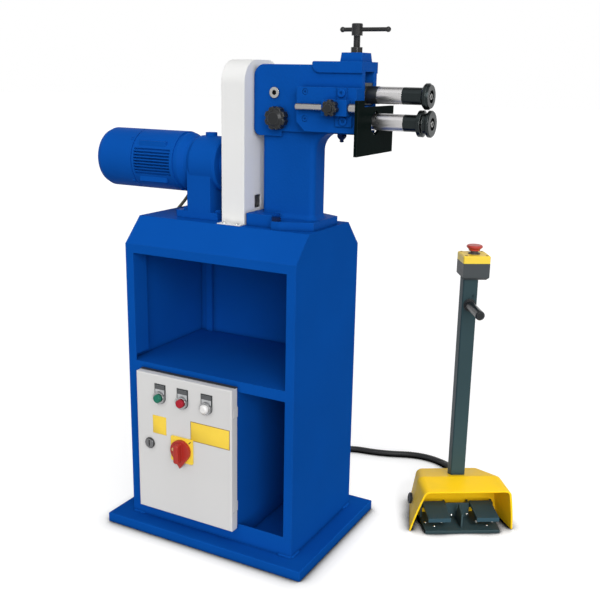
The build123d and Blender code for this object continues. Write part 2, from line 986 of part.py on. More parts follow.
# Head casting: foot, column, C-shaped throat and the head with its two bearing ways
with BuildPart() as head_casting:
    foot_top_z = stand_top + foot_t
    throat_end = column_right + throat_r
    throat_z = head_under - throat_r
    with BuildSketch(Plane.XZ):
        with BuildLine():
            Polyline(
                (column_right, throat_z),
                (column_right, stand_top),
                (column_left, stand_top),
                (column_left, lower_z),
                (throat_end, lower_z),
                (throat_end, head_under),
            )
            RadiusArc((throat_end, head_under), (column_right, throat_z), -throat_r)
        make_face()
    extrude(amount=column_half, both=True)
    upright_edges = head_casting.edges().filter_by(Axis.Z).filter_by_position(
        Axis.X, column_left - near, column_right + near
    )
    throat_edges = head_casting.edges().filter_by(GeomType.CIRCLE)
    fillet(upright_edges + throat_edges, radius=column_edge)
    with BuildSketch(Plane.XY.offset(stand_top)):
        Polygon(
            (foot_left, -foot_half),
            (lug_left, -foot_half),
            (lug_left + lug_slope, -lug_half),
            (lug_right, -lug_half),
            (foot_right, -foot_end_half),
            (foot_right, foot_end_half),
            (lug_right, lug_half),
            (lug_left + lug_slope, lug_half),
            (lug_left, foot_half),
            (foot_left, foot_half),
            align=None,
        )
    extrude(amount=foot_t)
    root_edges = head_casting.edges().filter_by_position(
        Axis.Z, foot_top_z - near, foot_top_z + near
    )
    root_edges = root_edges.filter_by_position(
        Axis.Y, -column_half - near, column_half + near
    ).filter_by_position(Axis.X, column_left - near, column_right + near)
    fillet(root_edges, radius=foot_fillet)
    block(foot_left, lug_left - lug_slope, -foot_half, foot_half, foot_top_z, stand_top + pad_top)
    with BuildSketch(Plane.XZ) as head_outline:
        Polygon(
            (head_left, tail_under),
            (tail_right, tail_under),
            (tail_right, head_under),
            (head_right, head_under),
            (head_right, head_top),
            (head_left, head_top),
            align=None,
        )
        fillet(head_outline.vertices().group_by(Axis.X)[0].sort_by(Axis.Y)[0], radius=tail_radius)
        fillet(head_outline.vertices().group_by(Axis.Y)[-1].sort_by(Axis.X)[0], radius=head_radius)
    extrude(amount=head_half, both=True)
    with BuildSketch(Plane.XZ) as rib_outline:
        Polygon(
            (rib_left, rib_under),
            (head_right, rib_under),
            (head_right, rib_top),
            (rib_left, rib_top),
            align=None,
        )
        fillet(rib_outline.vertices().group_by(Axis.X)[0].sort_by(Axis.Y)[0], radius=rib_lower_r)
        fillet(rib_outline.vertices().group_by(Axis.X)[0].sort_by(Axis.Y)[-1], radius=rib_upper_r)
    extrude(amount=rib_half, both=True)
    with BuildSketch(Plane.XY.offset(rib_top)):
        with Locations((screw_x, 0)):
            Rectangle(boss_size, boss_size)
    extrude(amount=boss_height, taper=boss_taper)
    block(
        head_left, head_right, -channel_half, channel_half, upper_z - channel_floor_drop,
        channel_top, Mode.SUBTRACT,
    )
    along_x(head_left, head_right, lower_z, bore_r, Mode.SUBTRACT)
    rod((pivot_x, -head_half, upper_z), (0, 1, 0), trunnion_shank_r, 2 * head_half, Mode.SUBTRACT)
    rod(
        (screw_x, 0, channel_top), (0, 0, 1), screw_r + thread_gap,
        rib_top + boss_height - channel_top, Mode.SUBTRACT,
    )
    rod(
        (spring_x, 0, upper_z - channel_floor_drop - spring_pocket), (0, 0, 1),
        spring_r + spring_wire, spring_pocket, Mode.SUBTRACT,
    )
    rod(
        (shaft_knob_x, -head_half, shaft_knob_z), (0, 1, 0), shaft_stem_r + running,
        head_half - bore_r + break_in, Mode.SUBTRACT,
    )
    for side in (-1, 1):
        rod((bolt_x, side * bolt_y, stand_top), (0, 0, 1), bolt_r, foot_t, Mode.SUBTRACT)
    rod((under_bolt_x, 0, head_under), (0, 0, 1), bolt_r, under_bolt_shank, Mode.SUBTRACT)
keep(head_casting, "head_casting")

with BuildPart() as hex_bolts:
    for side in (-1, 1):
        with BuildSketch(Plane.XY.offset(foot_top_z)):
            with Locations((bolt_x, side * bolt_y)):
                RegularPolygon(bolt_across / 2, 6, major_radius=False)
        extrude(amount=bolt_head)
        rod((bolt_x, side * bolt_y, stand_top), (0, 0, 1), bolt_r, foot_t)
    with BuildSketch(Plane.XY.offset(head_under - bolt_head)):
        with Locations((under_bolt_x, 0)):
            RegularPolygon(bolt_across / 2, 6, major_radius=False)
    extrude(amount=bolt_head)
    rod((under_bolt_x, 0, head_under), (0, 0, 1), bolt_r, under_bolt_shank)
keep(hex_bolts, "hex_bolts")

# Shafts with shoulders, each journal in its bearing and a seat for its roll
with BuildPart() as lower_shaft:
    along_x(chain_x - sprocket_width, gear_x + gear_width, lower_z, seat_r)
    along_x(gear_x + gear_width, head_right + shoulder_gap, lower_z, journal_r)
    along_x(head_right + shoulder_gap, lower_hub_x, lower_z, shaft_r)
    along_x(lower_hub_x, lower_face_x - roll_recess - seat_short, lower_z, roll_seat_r)
keep(lower_shaft, "lower_shaft")

with BuildPart() as upper_shaft:
    along_x(gear_x - gear_seat_end, gear_x + gear_width, upper_z, seat_r)
    along_x(gear_x + gear_width, nose_sleeve_end + slip, upper_z, journal_r)
    along_x(nose_sleeve_end + slip, upper_hub_x, upper_z, shaft_r)
    along_x(upper_hub_x, upper_face_x - roll_recess - seat_short, upper_z, roll_seat_r)
keep(upper_shaft, "upper_shaft")

with BuildPart() as lower_bushes:
    for bush_x in (head_left, head_right - bush_length):
        along_x(bush_x, bush_x + bush_length, lower_z, bore_r)
        along_x(bush_x, bush_x + bush_length, lower_z, journal_r + running, Mode.SUBTRACT)
keep(lower_bushes, "lower_bushes")

# Equal gears that turn the shafts against each other; the addendum leaves room for the lift
gear_pitch_r = gear_teeth * gear_module / 2
gear_flank = [
    (gear_pitch_r - tooth_depth * gear_module, tooth_root * gear_module),
    (gear_pitch_r, tooth_middle * gear_module),
    (gear_pitch_r + gear_module, tooth_tip * gear_module),
]

with BuildPart() as lower_gear:
    with BuildSketch(Plane.YZ.offset(gear_x)):
        with Locations((0, lower_z)):
            Polygon(*toothed(gear_teeth, 90, gear_flank), align=None)
            Circle(seat_r, mode=Mode.SUBTRACT)
    extrude(amount=gear_width)
keep(lower_gear, "lower_gear")

with BuildPart() as upper_gear:
    with BuildSketch(Plane.YZ.offset(gear_x)):
        with Locations((0, upper_z)):
            Polygon(*toothed(gear_teeth, 270 - 180 / gear_teeth, gear_flank), align=None)
            Circle(seat_r, mode=Mode.SUBTRACT)
    extrude(amount=gear_width)
keep(upper_gear, "upper_gear")

# Rolls: the upper one carries the bead, the lower one the matching groove
with BuildPart() as upper_roll:
    with BuildSketch(Plane.XZ):
        Polygon(
            (upper_hub_x, upper_z),
            (upper_hub_x, upper_z + shaft_r),
            (rim_x - bead_foot, upper_z + shaft_r),
            (rim_x - bead_side, upper_z + roll_r - bead_side_drop),
            (rim_x - bead_half, upper_z + roll_r - bead_drop),
            (rim_x + bead_half, upper_z + roll_r - bead_drop),
            (rim_x + bead_side, upper_z + roll_r - bead_side_drop),
            (upper_face_x, upper_z + roll_r - bead_face_drop),
            (upper_face_x, upper_z),
            align=None,
        )
    revolve(axis=Axis((0, 0, upper_z), (1, 0, 0)))
    along_x(upper_hub_x, upper_face_x, upper_z, roll_seat_r, Mode.SUBTRACT)
    along_x(upper_face_x - roll_recess, upper_face_x, upper_z, roll_recess_r, Mode.SUBTRACT)
keep(upper_roll, "upper_roll")

with BuildPart() as lower_roll:
    with BuildSketch(Plane.XZ):
        Polygon(
            (lower_hub_x, lower_z),
            (lower_hub_x, lower_z + shaft_r),
            (rim_x - lower_flank - lower_flank_run, lower_z + shaft_r),
            (rim_x - lower_flank, lower_z + roll_r),
            (rim_x - bead_side, lower_z + roll_r),
            (rim_x - bead_half, lower_z + roll_r - groove_depth),
            (rim_x + bead_half, lower_z + roll_r - groove_depth),
            (rim_x + bead_side, lower_z + roll_r),
            (lower_face_x - roll_edge, lower_z + roll_r),
            (lower_face_x, lower_z + roll_r - roll_edge),
            (lower_face_x, lower_z),
            align=None,
        )
    revolve(axis=Axis((0, 0, lower_z), (1, 0, 0)))
    along_x(lower_hub_x, lower_face_x, lower_z, roll_seat_r, Mode.SUBTRACT)
    along_x(lower_face_x - roll_recess, lower_face_x, lower_z, roll_recess_r, Mode.SUBTRACT)
keep(lower_roll, "lower_roll")

# Upper bearing blocks: the rear one rocks on trunnion screws, the front one rises in its slot
with BuildPart() as rear_block:
    with Locations((pivot_x, 0, upper_z)):
        Box(rear_block_length, 2 * block_half, 2 * rear_block_half_h)
    along_x(
        pivot_x - rear_block_length / 2, pivot_x + rear_block_length / 2, upper_z,
        journal_r + running, Mode.SUBTRACT,
    )
    rod(
        (pivot_x, -block_half, upper_z), (0, 1, 0), trunnion_pin_r + running, 2 * block_half,
        Mode.SUBTRACT,
    )
keep(rear_block, "rear_block")

with BuildPart() as front_block:
    front_end = head_right - block_setback
    front_start = front_end - front_block_length
    block(
        front_start, front_end, -block_half, block_half, upper_z - block_drop,
        upper_z + block_rise,
    )
    along_x(front_end, nose_sleeve_end, upper_z, nose_sleeve_r)
    along_x(front_start, nose_sleeve_end, upper_z, journal_r + running, Mode.SUBTRACT)
keep(front_block, "front_block")

with BuildPart() as trunnion_screws:
    for side in (-1, 1):
        rod((pivot_x, side * head_half, upper_z), (0, side, 0), trunnion_head_r, trunnion_head)
        pin_tip = journal_r + trunnion_tip_gap
        rod(
            (pivot_x, side * head_half, upper_z), (0, -side, 0), trunnion_shank_r,
            head_half - channel_half,
        )
        rod(
            (pivot_x, side * channel_half, upper_z), (0, -side, 0), trunnion_pin_r,
            channel_half - pin_tip,
        )
        socket_plane = Plane(
            origin=(pivot_x, side * (head_half + trunnion_head), upper_z), z_dir=(0, -side, 0)
        )
        with BuildSketch(socket_plane):
            RegularPolygon(trunnion_socket / 2, 6, major_radius=False)
        extrude(amount=trunnion_socket_depth, mode=Mode.SUBTRACT)
keep(trunnion_screws, "trunnion_screws")

# Lift spring under the front block
with BuildPart() as lift_spring:
    spring_foot = upper_z - channel_floor_drop - spring_pocket
    spring_height = channel_floor_drop + spring_pocket - block_drop - spring_wire
    with BuildLine():
        coil = Helix(
            spring_height / spring_turns, spring_height, spring_r - spring_wire / 2,
            center=(spring_x, 0, spring_foot + spring_wire / 2),
        )
    with BuildSketch(Plane(origin=coil @ 0, z_dir=coil % 0)):
        RegularPolygon(spring_wire / 2, 6)
    sweep(is_frenet=True)
keep(lift_spring, "lift_spring")

# Pressure gear: pad, screw with cross hub, threaded bush and sliding tommy bar
pad_foot = upper_z + block_rise + running
with BuildPart() as pressure_pad:
    with BuildSketch(Plane.XZ):
        Polygon(
            (screw_x, pad_foot),
            (screw_x + pad_r, pad_foot + pad_crown),
            (screw_x + pad_r, pad_foot + pad_height),
            (screw_x, pad_foot + pad_height),
            align=None,
        )
    revolve(axis=Axis((screw_x, 0, 0), (0, 0, 1)))
    rod(
        (screw_x, 0, pad_foot + pad_height), (0, 0, -1), spigot_r + running, spigot_length,
        Mode.SUBTRACT,
    )
keep(pressure_pad, "pressure_pad")

with BuildPart() as pressure_screw:
    screw_foot = pad_foot + pad_height
    rod((screw_x, 0, screw_foot), (0, 0, -1), spigot_r, spigot_length)
    rod((screw_x, 0, screw_foot), (0, 0, 1), screw_r, hub_bottom - screw_foot)
    rod((screw_x, 0, hub_bottom), (0, 0, 1), hub_r, hub_top - hub_bottom)
    chamfer(pressure_screw.edges().group_by(Axis.Z)[-1], length=hub_edge)
    bar_z = (hub_bottom + hub_top) / 2
    rod(
        (screw_x - hub_r, 0, bar_z), (1, 0, 0), bar_r + running, 2 * hub_r, Mode.SUBTRACT
    )
keep(pressure_screw, "pressure_screw")

with BuildPart() as screw_nut:
    with BuildSketch(Plane.XY.offset(rib_top + boss_height)):
        with Locations((screw_x, 0)):
            RegularPolygon(nut_across / 2, 6, major_radius=False)
            Circle(screw_r + thread_gap, mode=Mode.SUBTRACT)
    extrude(amount=nut_height)
keep(screw_nut, "screw_nut")

with BuildPart() as tommy_bar:
    along_x(bar_left, bar_right, bar_z, bar_r)
    with BuildSketch(Plane.XZ):
        with Locations((bar_left, bar_z), (bar_right, bar_z)):
            RegularPolygon(ball_r, 12)
        with Locations((screw_x, bar_z)):
            Rectangle(
                2 * (bar_right - bar_left), 2 * ball_r, align=(Align.CENTER, Align.MIN),
                mode=Mode.INTERSECT,
            )
    revolve(axis=Axis((0, 0, bar_z), (1, 0, 0)))
keep(tommy_bar, "tommy_bar")

# Back stop: bracket on the head, sliding rod, plate and the two star knobs
bracket_face = -head_half - bracket_depth
rod_y = bracket_face - rod_stand_off
with BuildPart() as stop_bracket:
    block(bracket_left, head_right, bracket_face, -head_half, bracket_bottom, bracket_top)
    chamfer(
        stop_bracket.edges().filter_by(Axis.Y).group_by(Axis.X)[0].sort_by(Axis.Z)[0],
        length=bracket_chamfer,
    )
    clamp_face = bracket_face - clamp_depth
    block(
        clamp_left, clamp_right, clamp_face, bracket_face, rod_z - clamp_half, rod_z + clamp_half
    )
    pad_face = bracket_face - pad_raise
    block(
        upper_pad_left, upper_pad_right, pad_face, bracket_face, rod_z + clamp_half, bracket_top
    )
    block(
        lower_pad_left, lower_pad_right, pad_face, bracket_face,
        bracket_bottom + lower_pad_rise, rod_z - clamp_half,
    )
    rod(
        (clamp_left, rod_y, rod_z), (1, 0, 0), rod_r + running, clamp_right - clamp_left,
        Mode.SUBTRACT,
    )
    rod(
        (stop_knob_x, clamp_face, rod_z), (0, 1, 0), stop_stem_r + running,
        rod_y - rod_r - clamp_face + break_in, Mode.SUBTRACT,
    )
    sink_x = bracket_left + countersink_inset
    for sink_z in (bracket_top - countersink_top, bracket_bottom + countersink_foot):
        rod((sink_x, bracket_face, sink_z), (0, 1, 0), countersink_r, countersink, Mode.SUBTRACT)
keep(stop_bracket, "stop_bracket")

with BuildPart() as stop_rod:
    rod((rod_left, rod_y, rod_z), (1, 0, 0), rod_r, plate_left - rod_left)
    rod((collar_left, rod_y, rod_z), (1, 0, 0), collar_r, plate_left - collar_left)
    chamfer(stop_rod.edges().group_by(Axis.X)[0], length=rod_edge)
keep(stop_rod, "stop_rod")

with BuildPart() as stop_plate:
    block(plate_left, plate_left + plate_thick, -plate_half, plate_half, plate_bottom, plate_top)
    block(
        plate_left, plate_left + plate_thick, -plate_half, -plate_half + ear_width, plate_top,
        plate_top + ear_height,
    )
    with BuildSketch(Plane.YZ.offset(plate_left)):
        with Locations((0, hex_z)):
            RegularPolygon(hex_r, 6, rotation=90)
    extrude(amount=plate_thick, mode=Mode.SUBTRACT)
keep(stop_plate, "stop_plate")


def knob_body(back, x, z, radius, lobes, height):
    face = Plane(origin=(x, back, z), z_dir=(0, -1, 0))
    with BuildPart(mode=Mode.PRIVATE) as body:
        with BuildSketch(face):
            Circle(radius)
            with PolarLocations(radius + notch_out, lobes):
                Circle(notch_r, mode=Mode.SUBTRACT)
        extrude(amount=height)
        chamfer(body.edges().group_by(Axis.Y)[0], length=knob_edge)
        with Locations(face.offset(height)):
            Cone(
                radius - notch_r - knob_edge, radius / 2, knob_dome,
                align=(Align.CENTER, Align.CENTER, Align.MIN),
            )
    return body.part


with BuildPart() as stop_knob:
    knob_back = clamp_face - stop_knob_gap
    add(knob_body(knob_back, stop_knob_x, rod_z, stop_knob_r, stop_knob_lobes, stop_knob_height))
    rod(
        (stop_knob_x, knob_back, rod_z), (0, 1, 0), stop_stem_r,
        rod_y - rod_r - running - knob_back,
    )
keep(stop_knob, "stop_knob")

with BuildPart() as shaft_knob:
    knob_root = -head_half - shaft_knob_gap
    add(
        knob_body(
            knob_root, shaft_knob_x, shaft_knob_z, shaft_knob_r, shaft_knob_lobes,
            shaft_knob_height,
        )
    )
    rod(
        (shaft_knob_x, -head_half - slip, shaft_knob_z), (0, -1, 0), shaft_collar_r, shaft_knob_gap
    )
    rod((shaft_knob_x, knob_root, shaft_knob_z), (0, 1, 0), shaft_stem_r, shaft_stem)
keep(shaft_knob, "shaft_knob")

# Foot station: base with pivot ears, open-fronted hood, two pedals, pole and stop box
turn_cos = math.cos(math.radians(station_turn))
turn_sin = math.sin(math.radians(station_turn))
station = Plane(
    origin=(station_x, station_y, 0), x_dir=(turn_cos, turn_sin, 0), z_dir=(0, 0, 1)
)


def station_point(u, v, z):
    return (
        station_x + u * turn_cos - v * turn_sin,
        station_y + u * turn_sin + v * turn_cos,
        z,
    )


def station_block(u0, u1, v0, v1, z0, z1, mode=Mode.ADD):
    middle = Location(((u0 + u1) / 2, (v0 + v1) / 2, (z0 + z1) / 2))
    with Locations(station.location * middle):
        Box(u1 - u0, v1 - v0, z1 - z0, mode=mode)


def station_across(v):
    return Plane(
        origin=station_point(0, v, 0), x_dir=(turn_cos, turn_sin, 0), z_dir=(turn_sin, -turn_cos, 0)
    )


def station_side(u):
    return Plane(
        origin=station_point(u, 0, 0), x_dir=(-turn_sin, turn_cos, 0), z_dir=(turn_cos, turn_sin, 0)
    )


with BuildPart() as foot_base:
    hood_inside = hood_back_v - hood_wall
    station_block(
        -foot_base_half, foot_base_half, foot_base_front, hood_inside, 0, foot_base_t
    )
    station_block(
        -housing_half, housing_half, housing_front, housing_back, foot_base_t, housing_top
    )
    ear_spots = (-pedal_outer - ear_t, -pedal_inner, pedal_inner - ear_t, pedal_outer)
    for ear_u in ear_spots:
        station_block(
            ear_u, ear_u + ear_t, pivot_v - ear_v_half, pivot_v + ear_v_half, foot_base_t,
            pivot_z + ear_rise,
        )
    with BuildSketch(station_side(-web_t / 2)):
        Polygon(
            (web_front, foot_base_t),
            (web_front, web_front_z),
            (web_peak_v, web_peak_z),
            (web_back, foot_base_t),
            align=None,
        )
    extrude(amount=web_t)
    rod(
        station_point(-foot_base_half, pivot_v, pivot_z), (turn_cos, turn_sin, 0),
        pivot_r + running, 2 * foot_base_half, Mode.SUBTRACT,
    )
keep(foot_base, "foot_base")

hood_stations = [
    (hood_lip_v, hood_lip_half, hood_lip_top_half, hood_lip_z),
    (hood_crease_v, hood_crease_half, hood_crease_top_half, hood_crease_z),
    (hood_back_v, hood_back_half, hood_back_top_half, hood_back_z),
]
roof_fall = (hood_crease_z - hood_back_z) / (hood_back_v - hood_crease_v)


def hood_outline(floor_half, top_half, top_z, inset, corner):
    with BuildSketch(mode=Mode.PRIVATE) as outline:
        Polygon(
            (-floor_half + inset, 0),
            (floor_half - inset, 0),
            (top_half - inset, top_z - inset),
            (-top_half + inset, top_z - inset),
            align=None,
        )
        fillet(outline.vertices().group_by(Axis.Y)[-1], radius=corner)
    return outline.sketch


with BuildPart() as foot_hood:
    for v, floor_half, top_half, top_z in hood_stations:
        with BuildSketch(station_across(v)):
            add(hood_outline(floor_half, top_half, top_z, 0, hood_corner))
    loft(ruled=True)
    for v, floor_half, top_half, top_z in hood_stations:
        with BuildSketch(station_across(min(v, hood_inside))):
            add(hood_outline(floor_half, top_half, top_z, hood_wall, hood_corner - hood_wall))
    loft(ruled=True, mode=Mode.SUBTRACT)
    bulkhead_part = (bulkhead_v - hood_crease_v) / (hood_back_v - hood_crease_v)
    with BuildSketch(station_across(bulkhead_v + bulkhead_t)):
        add(
            hood_outline(
                hood_crease_half + bulkhead_part * (hood_back_half - hood_crease_half),
                hood_crease_top_half + bulkhead_part * (hood_back_top_half - hood_crease_top_half),
                hood_crease_z - roof_fall * (bulkhead_v - hood_crease_v),
                hood_wall / 2,
                hood_corner - hood_wall,
            )
        )
    extrude(amount=bulkhead_t)
    station_block(
        -foot_base_half, foot_base_half, bulkhead_v - bulkhead_t, bulkhead_v + 2 * bulkhead_t, 0,
        foot_base_t, Mode.SUBTRACT,
    )
    front_rise = hood_lip_z
    front_run = hood_foot_v - hood_lip_v
    front_cut = Plane(
        origin=station_point(0, hood_foot_v, 0),
        x_dir=(turn_cos, turn_sin, 0),
        z_dir=(-turn_sin * front_rise, turn_cos * front_rise, front_run),
    )
    split(bisect_by=front_cut, keep=Keep.TOP)
keep(foot_hood, "foot_hood")


def pedal_outline():
    return Polygon(
        (pedal_front, pedal_front_z - pedal_lip),
        (pedal_front + pedal_t, pedal_front_z - pedal_lip),
        (pedal_front + pedal_t, pedal_front_z - pedal_t),
        (pedal_back, pedal_back_z - pedal_root),
        (pedal_back, pedal_back_z),
        (pedal_front, pedal_front_z),
        align=None,
    )


with BuildPart() as left_pedal:
    with BuildSketch(station_side(-pedal_outer + slip)):
        pedal_outline()
        with Locations((pivot_v, pivot_z)):
            Circle(pivot_boss_r)
    extrude(amount=pedal_outer - pedal_inner - 2 * slip)
    rod(
        station_point(-pedal_outer - ear_t, pivot_v, pivot_z), (turn_cos, turn_sin, 0), pivot_r,
        pedal_outer - pedal_inner + 2 * ear_t,
    )
keep(left_pedal, "left_pedal")

with BuildPart() as right_pedal:
    with BuildSketch(station_side(pedal_inner + slip)):
        pedal_outline()
        with Locations((pivot_v, pivot_z)):
            Circle(pivot_boss_r)
    extrude(amount=pedal_outer - pedal_inner - 2 * slip)
    rod(
        station_point(pedal_inner - ear_t, pivot_v, pivot_z), (turn_cos, turn_sin, 0), pivot_r,
        pedal_outer - pedal_inner + 2 * ear_t,
    )
keep(right_pedal, "right_pedal")

with BuildPart() as pole:
    pole_foot = station_point(0, pole_v, hood_back_z)
    with BuildSketch(Plane(origin=pole_foot, x_dir=(turn_cos, turn_sin, 0))):
        RectangleRounded(pole_size, pole_size, pole_corner)
        inside = pole_size - 2 * pole_wall
        RectangleRounded(inside, inside, pole_corner - pole_wall / 2, mode=Mode.SUBTRACT)
    extrude(amount=pole_top - hood_back_z)
    roof = Plane(
        origin=station_point(0, hood_crease_v, hood_crease_z),
        x_dir=(turn_cos, turn_sin, 0),
        z_dir=(-turn_sin * roof_fall, turn_cos * roof_fall, 1),
    )
    split(bisect_by=roof, keep=Keep.TOP)
keep(pole, "pole")

with BuildPart() as grip:
    grip_root = station_point(0, pole_v - pole_size / 2, grip_z)
    forward = (turn_sin, -turn_cos, 0)
    rod(grip_root, forward, grip_r, grip_length)
    chamfer(grip.edges().sort_by_distance(grip_root)[-1], length=grip_edge)
    rod(grip_root, forward, grip_flange_r, grip_flange)
keep(grip, "grip")

with BuildPart() as estop_box:
    station_block(
        estop_u - estop_size / 2, estop_u + estop_size / 2, estop_v - estop_size / 2,
        estop_v + estop_size / 2, pole_top, pole_top + estop_height,
    )
    chamfer(estop_box.edges().group_by(Axis.Z)[0], length=estop_edge)
    rod(
        station_point(estop_u, estop_v, pole_top + estop_height), (0, 0, -1),
        mushroom_stem_r + mushroom_room, mushroom_well, Mode.SUBTRACT,
    )
keep(estop_box, "estop_box")

with BuildPart() as estop_lid:
    lid_foot = pole_top + estop_height
    station_block(
        estop_u - lid_size / 2, estop_u + lid_size / 2, estop_v - lid_size / 2,
        estop_v + lid_size / 2, lid_foot, lid_foot + lid_height,
    )
    fillet(estop_lid.edges().filter_by(Axis.Z), radius=lid_edge)
    chamfer(estop_lid.edges().group_by(Axis.Z)[-1], length=lid_round)
    rod(
        station_point(estop_u, estop_v, lid_foot), (0, 0, 1), mushroom_stem_r + running,
        lid_height, Mode.SUBTRACT,
    )
keep(estop_lid, "estop_lid")

with BuildPart() as estop_button:
    lid_top = lid_foot + lid_height
    cap_foot = lid_top + mushroom_lift
    cap_top = cap_foot + mushroom_t
    with BuildSketch(Plane.XZ):
        Polygon(
            (0, lid_foot),
            (mushroom_stem_r, lid_foot),
            (mushroom_stem_r, cap_foot),
            (mushroom_neck_r, cap_foot),
            (mushroom_neck_r, cap_foot + mushroom_rim),
            (mushroom_r, cap_top - mushroom_rim - mushroom_bevel),
            (mushroom_r, cap_top - mushroom_bevel),
            (mushroom_r - mushroom_bevel, cap_top),
            (0, cap_top),
            align=None,
        )
    mushroom = revolve(axis=Axis.Z, mode=Mode.PRIVATE)
    with Locations(station_point(estop_u, estop_v, 0)):
        add(mushroom)
keep(estop_button, "estop_button")

# Cables: pedal cable over the floor, motor lead beside the stand, and their glands
pedal_route = [
    (cable_gland_x, half_d + gland_length, panel_gland_z),
    (cable_gland_x, half_d + 128, panel_gland_z),
    (cable_gland_x + 25, half_d + 248, cable_r),
    (60, 492, cable_r),
    (165, 505, cable_r),
    (270, 556, cable_r),
    (368, 530, cable_r),
    station_point(station_gland_u, hood_back_v + gland_length + 70, station_gland_z),
    station_point(station_gland_u, hood_back_v + gland_length, station_gland_z),
]
pedal_radii = bend_radii(pedal_route)
pedal_start = Vector(*pedal_route[1]) - Vector(*pedal_route[0])
with BuildPart() as pedal_cable:
    with BuildLine() as pedal_line:
        FilletPolyline(*pedal_route, radius=pedal_radii)
    with BuildSketch(Plane(origin=pedal_route[0], z_dir=pedal_start)):
        Circle(cable_r)
    sweep()
keep(pedal_cable, "pedal_cable")
pedal_length = sum(edge.length for edge in pedal_line.edges())
print("pedal cable bends", [round(r) for r in pedal_radii], "length", round(pedal_length))
print("pedal cable section", pedal_cable.part.volume / pedal_length, math.pi * cable_r**2)

terminal_foot = motor_z - terminal_height / 2
lead_x = (terminal_left + terminal_right) / 2
lead_route = [
    (lead_x, lead_top_y, terminal_foot - lead_gland_length),
    (lead_x, lead_top_y, terminal_foot - lead_gland_length - 24),
    (-half_w - 65, lead_gland_y, lead_gland_z + 52),
    (-half_w - 65, lead_gland_y, lead_gland_z),
    (-half_w - lead_gland_length, lead_gland_y, lead_gland_z),
]
lead_radii = bend_radii(lead_route)
lead_start = Vector(*lead_route[1]) - Vector(*lead_route[0])
with BuildPart() as motor_lead:
    with BuildLine() as lead_line:
        FilletPolyline(*lead_route, radius=lead_radii)
    with BuildSketch(Plane(origin=lead_route[0], z_dir=lead_start)):
        Circle(lead_r)
    sweep()
keep(motor_lead, "motor_lead")
lead_length = sum(edge.length for edge in lead_line.edges())
print("motor lead bends", [round(r) for r in lead_radii], "length", round(lead_length))
print("motor lead section", motor_lead.part.volume / lead_length, math.pi * lead_r**2)


def gland(seat, way, radius, length):
    with BuildPart(mode=Mode.PRIVATE) as body:
        with BuildSketch(Plane(origin=seat, z_dir=way)):
            RegularPolygon(radius, 6)
        extrude(amount=length * gland_nut)
        rod(seat, way, radius * gland_nose, length)
    return body.part


with BuildPart() as cable_glands:
    for gland_x in (cable_gland_x, mains_gland_x):
        add(gland((gland_x, half_d, panel_gland_z), (0, 1, 0), gland_r, gland_length))
    station_gland = station_point(station_gland_u, hood_back_v, station_gland_z)
    add(gland(station_gland, (-turn_sin, turn_cos, 0), gland_r, gland_length))
    panel_lead = (-half_w, lead_gland_y, lead_gland_z)
    add(gland(panel_lead, (-1, 0, 0), lead_gland_r, lead_gland_length))
    motor_lead_seat = (lead_x, lead_top_y, terminal_foot)
    add(gland(motor_lead_seat, (0, 0, -1), lead_gland_r, lead_gland_length))
keep(cable_glands, "cable_glands")
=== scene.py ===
import math

import bmesh
import bpy
from mathutils import Matrix, Vector


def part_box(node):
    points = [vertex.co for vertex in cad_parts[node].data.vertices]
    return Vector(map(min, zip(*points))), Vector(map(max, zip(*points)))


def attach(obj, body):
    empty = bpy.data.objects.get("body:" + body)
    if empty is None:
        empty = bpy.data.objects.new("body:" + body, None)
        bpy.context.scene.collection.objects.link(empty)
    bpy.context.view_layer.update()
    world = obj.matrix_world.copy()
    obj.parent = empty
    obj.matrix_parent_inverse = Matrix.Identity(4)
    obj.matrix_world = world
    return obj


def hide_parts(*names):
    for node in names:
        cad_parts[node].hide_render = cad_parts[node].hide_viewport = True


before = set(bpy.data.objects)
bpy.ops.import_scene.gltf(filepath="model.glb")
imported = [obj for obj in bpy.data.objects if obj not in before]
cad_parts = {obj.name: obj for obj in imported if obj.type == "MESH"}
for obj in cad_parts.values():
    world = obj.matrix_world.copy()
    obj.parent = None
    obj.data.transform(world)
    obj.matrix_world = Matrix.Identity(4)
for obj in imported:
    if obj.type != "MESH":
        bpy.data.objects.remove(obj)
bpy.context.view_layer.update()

# Camera: it stands about two metres in front of the machine, to its right and level with the head,
# where the photograph was taken from, and looks slightly down.
scene = bpy.context.scene
scene.view_settings.view_transform = "Standard"
camera_turn = math.radians(28.232)
camera_tilt = math.radians(14.663)
camera_roll = math.radians(1.05)
camera_place = Vector((1.06426, -1.6954, 1.08856))
camera_data = bpy.data.cameras.new("camera")
camera_data.sensor_fit = "HORIZONTAL"
camera_data.sensor_width = 36
camera_data.lens = 52.063
camera = bpy.data.objects.new("camera", camera_data)
aim = Matrix.Rotation(camera_turn, 4, "Z") @ Matrix.Rotation(math.pi / 2 - camera_tilt, 4, "X")
camera.matrix_world = Matrix.Translation(camera_place) @ aim @ Matrix.Rotation(camera_roll, 4, "Z")
scene.collection.objects.link(camera)
scene.camera = camera

# Studio light: a broad low lamp from the front right, a weaker one from above, and a white room with a
# grey ceiling, all soft. A small soft box with a grid stands over the foot station, which is low and
# half in the stand's shade.


def soft_light(name, turn, height, strength, spread):
    lamp = bpy.data.lights.new(name, "SUN")
    lamp.energy = strength
    lamp.angle = math.radians(spread)
    bearing = math.radians(turn)
    rise = math.radians(height)
    level = math.cos(rise)
    source = Vector((math.sin(bearing) * level, -math.cos(bearing) * level, math.sin(rise)))
    holder = bpy.data.objects.new(name, lamp)
    holder.rotation_euler = (-source).to_track_quat("-Z", "Y").to_euler()
    scene.collection.objects.link(holder)


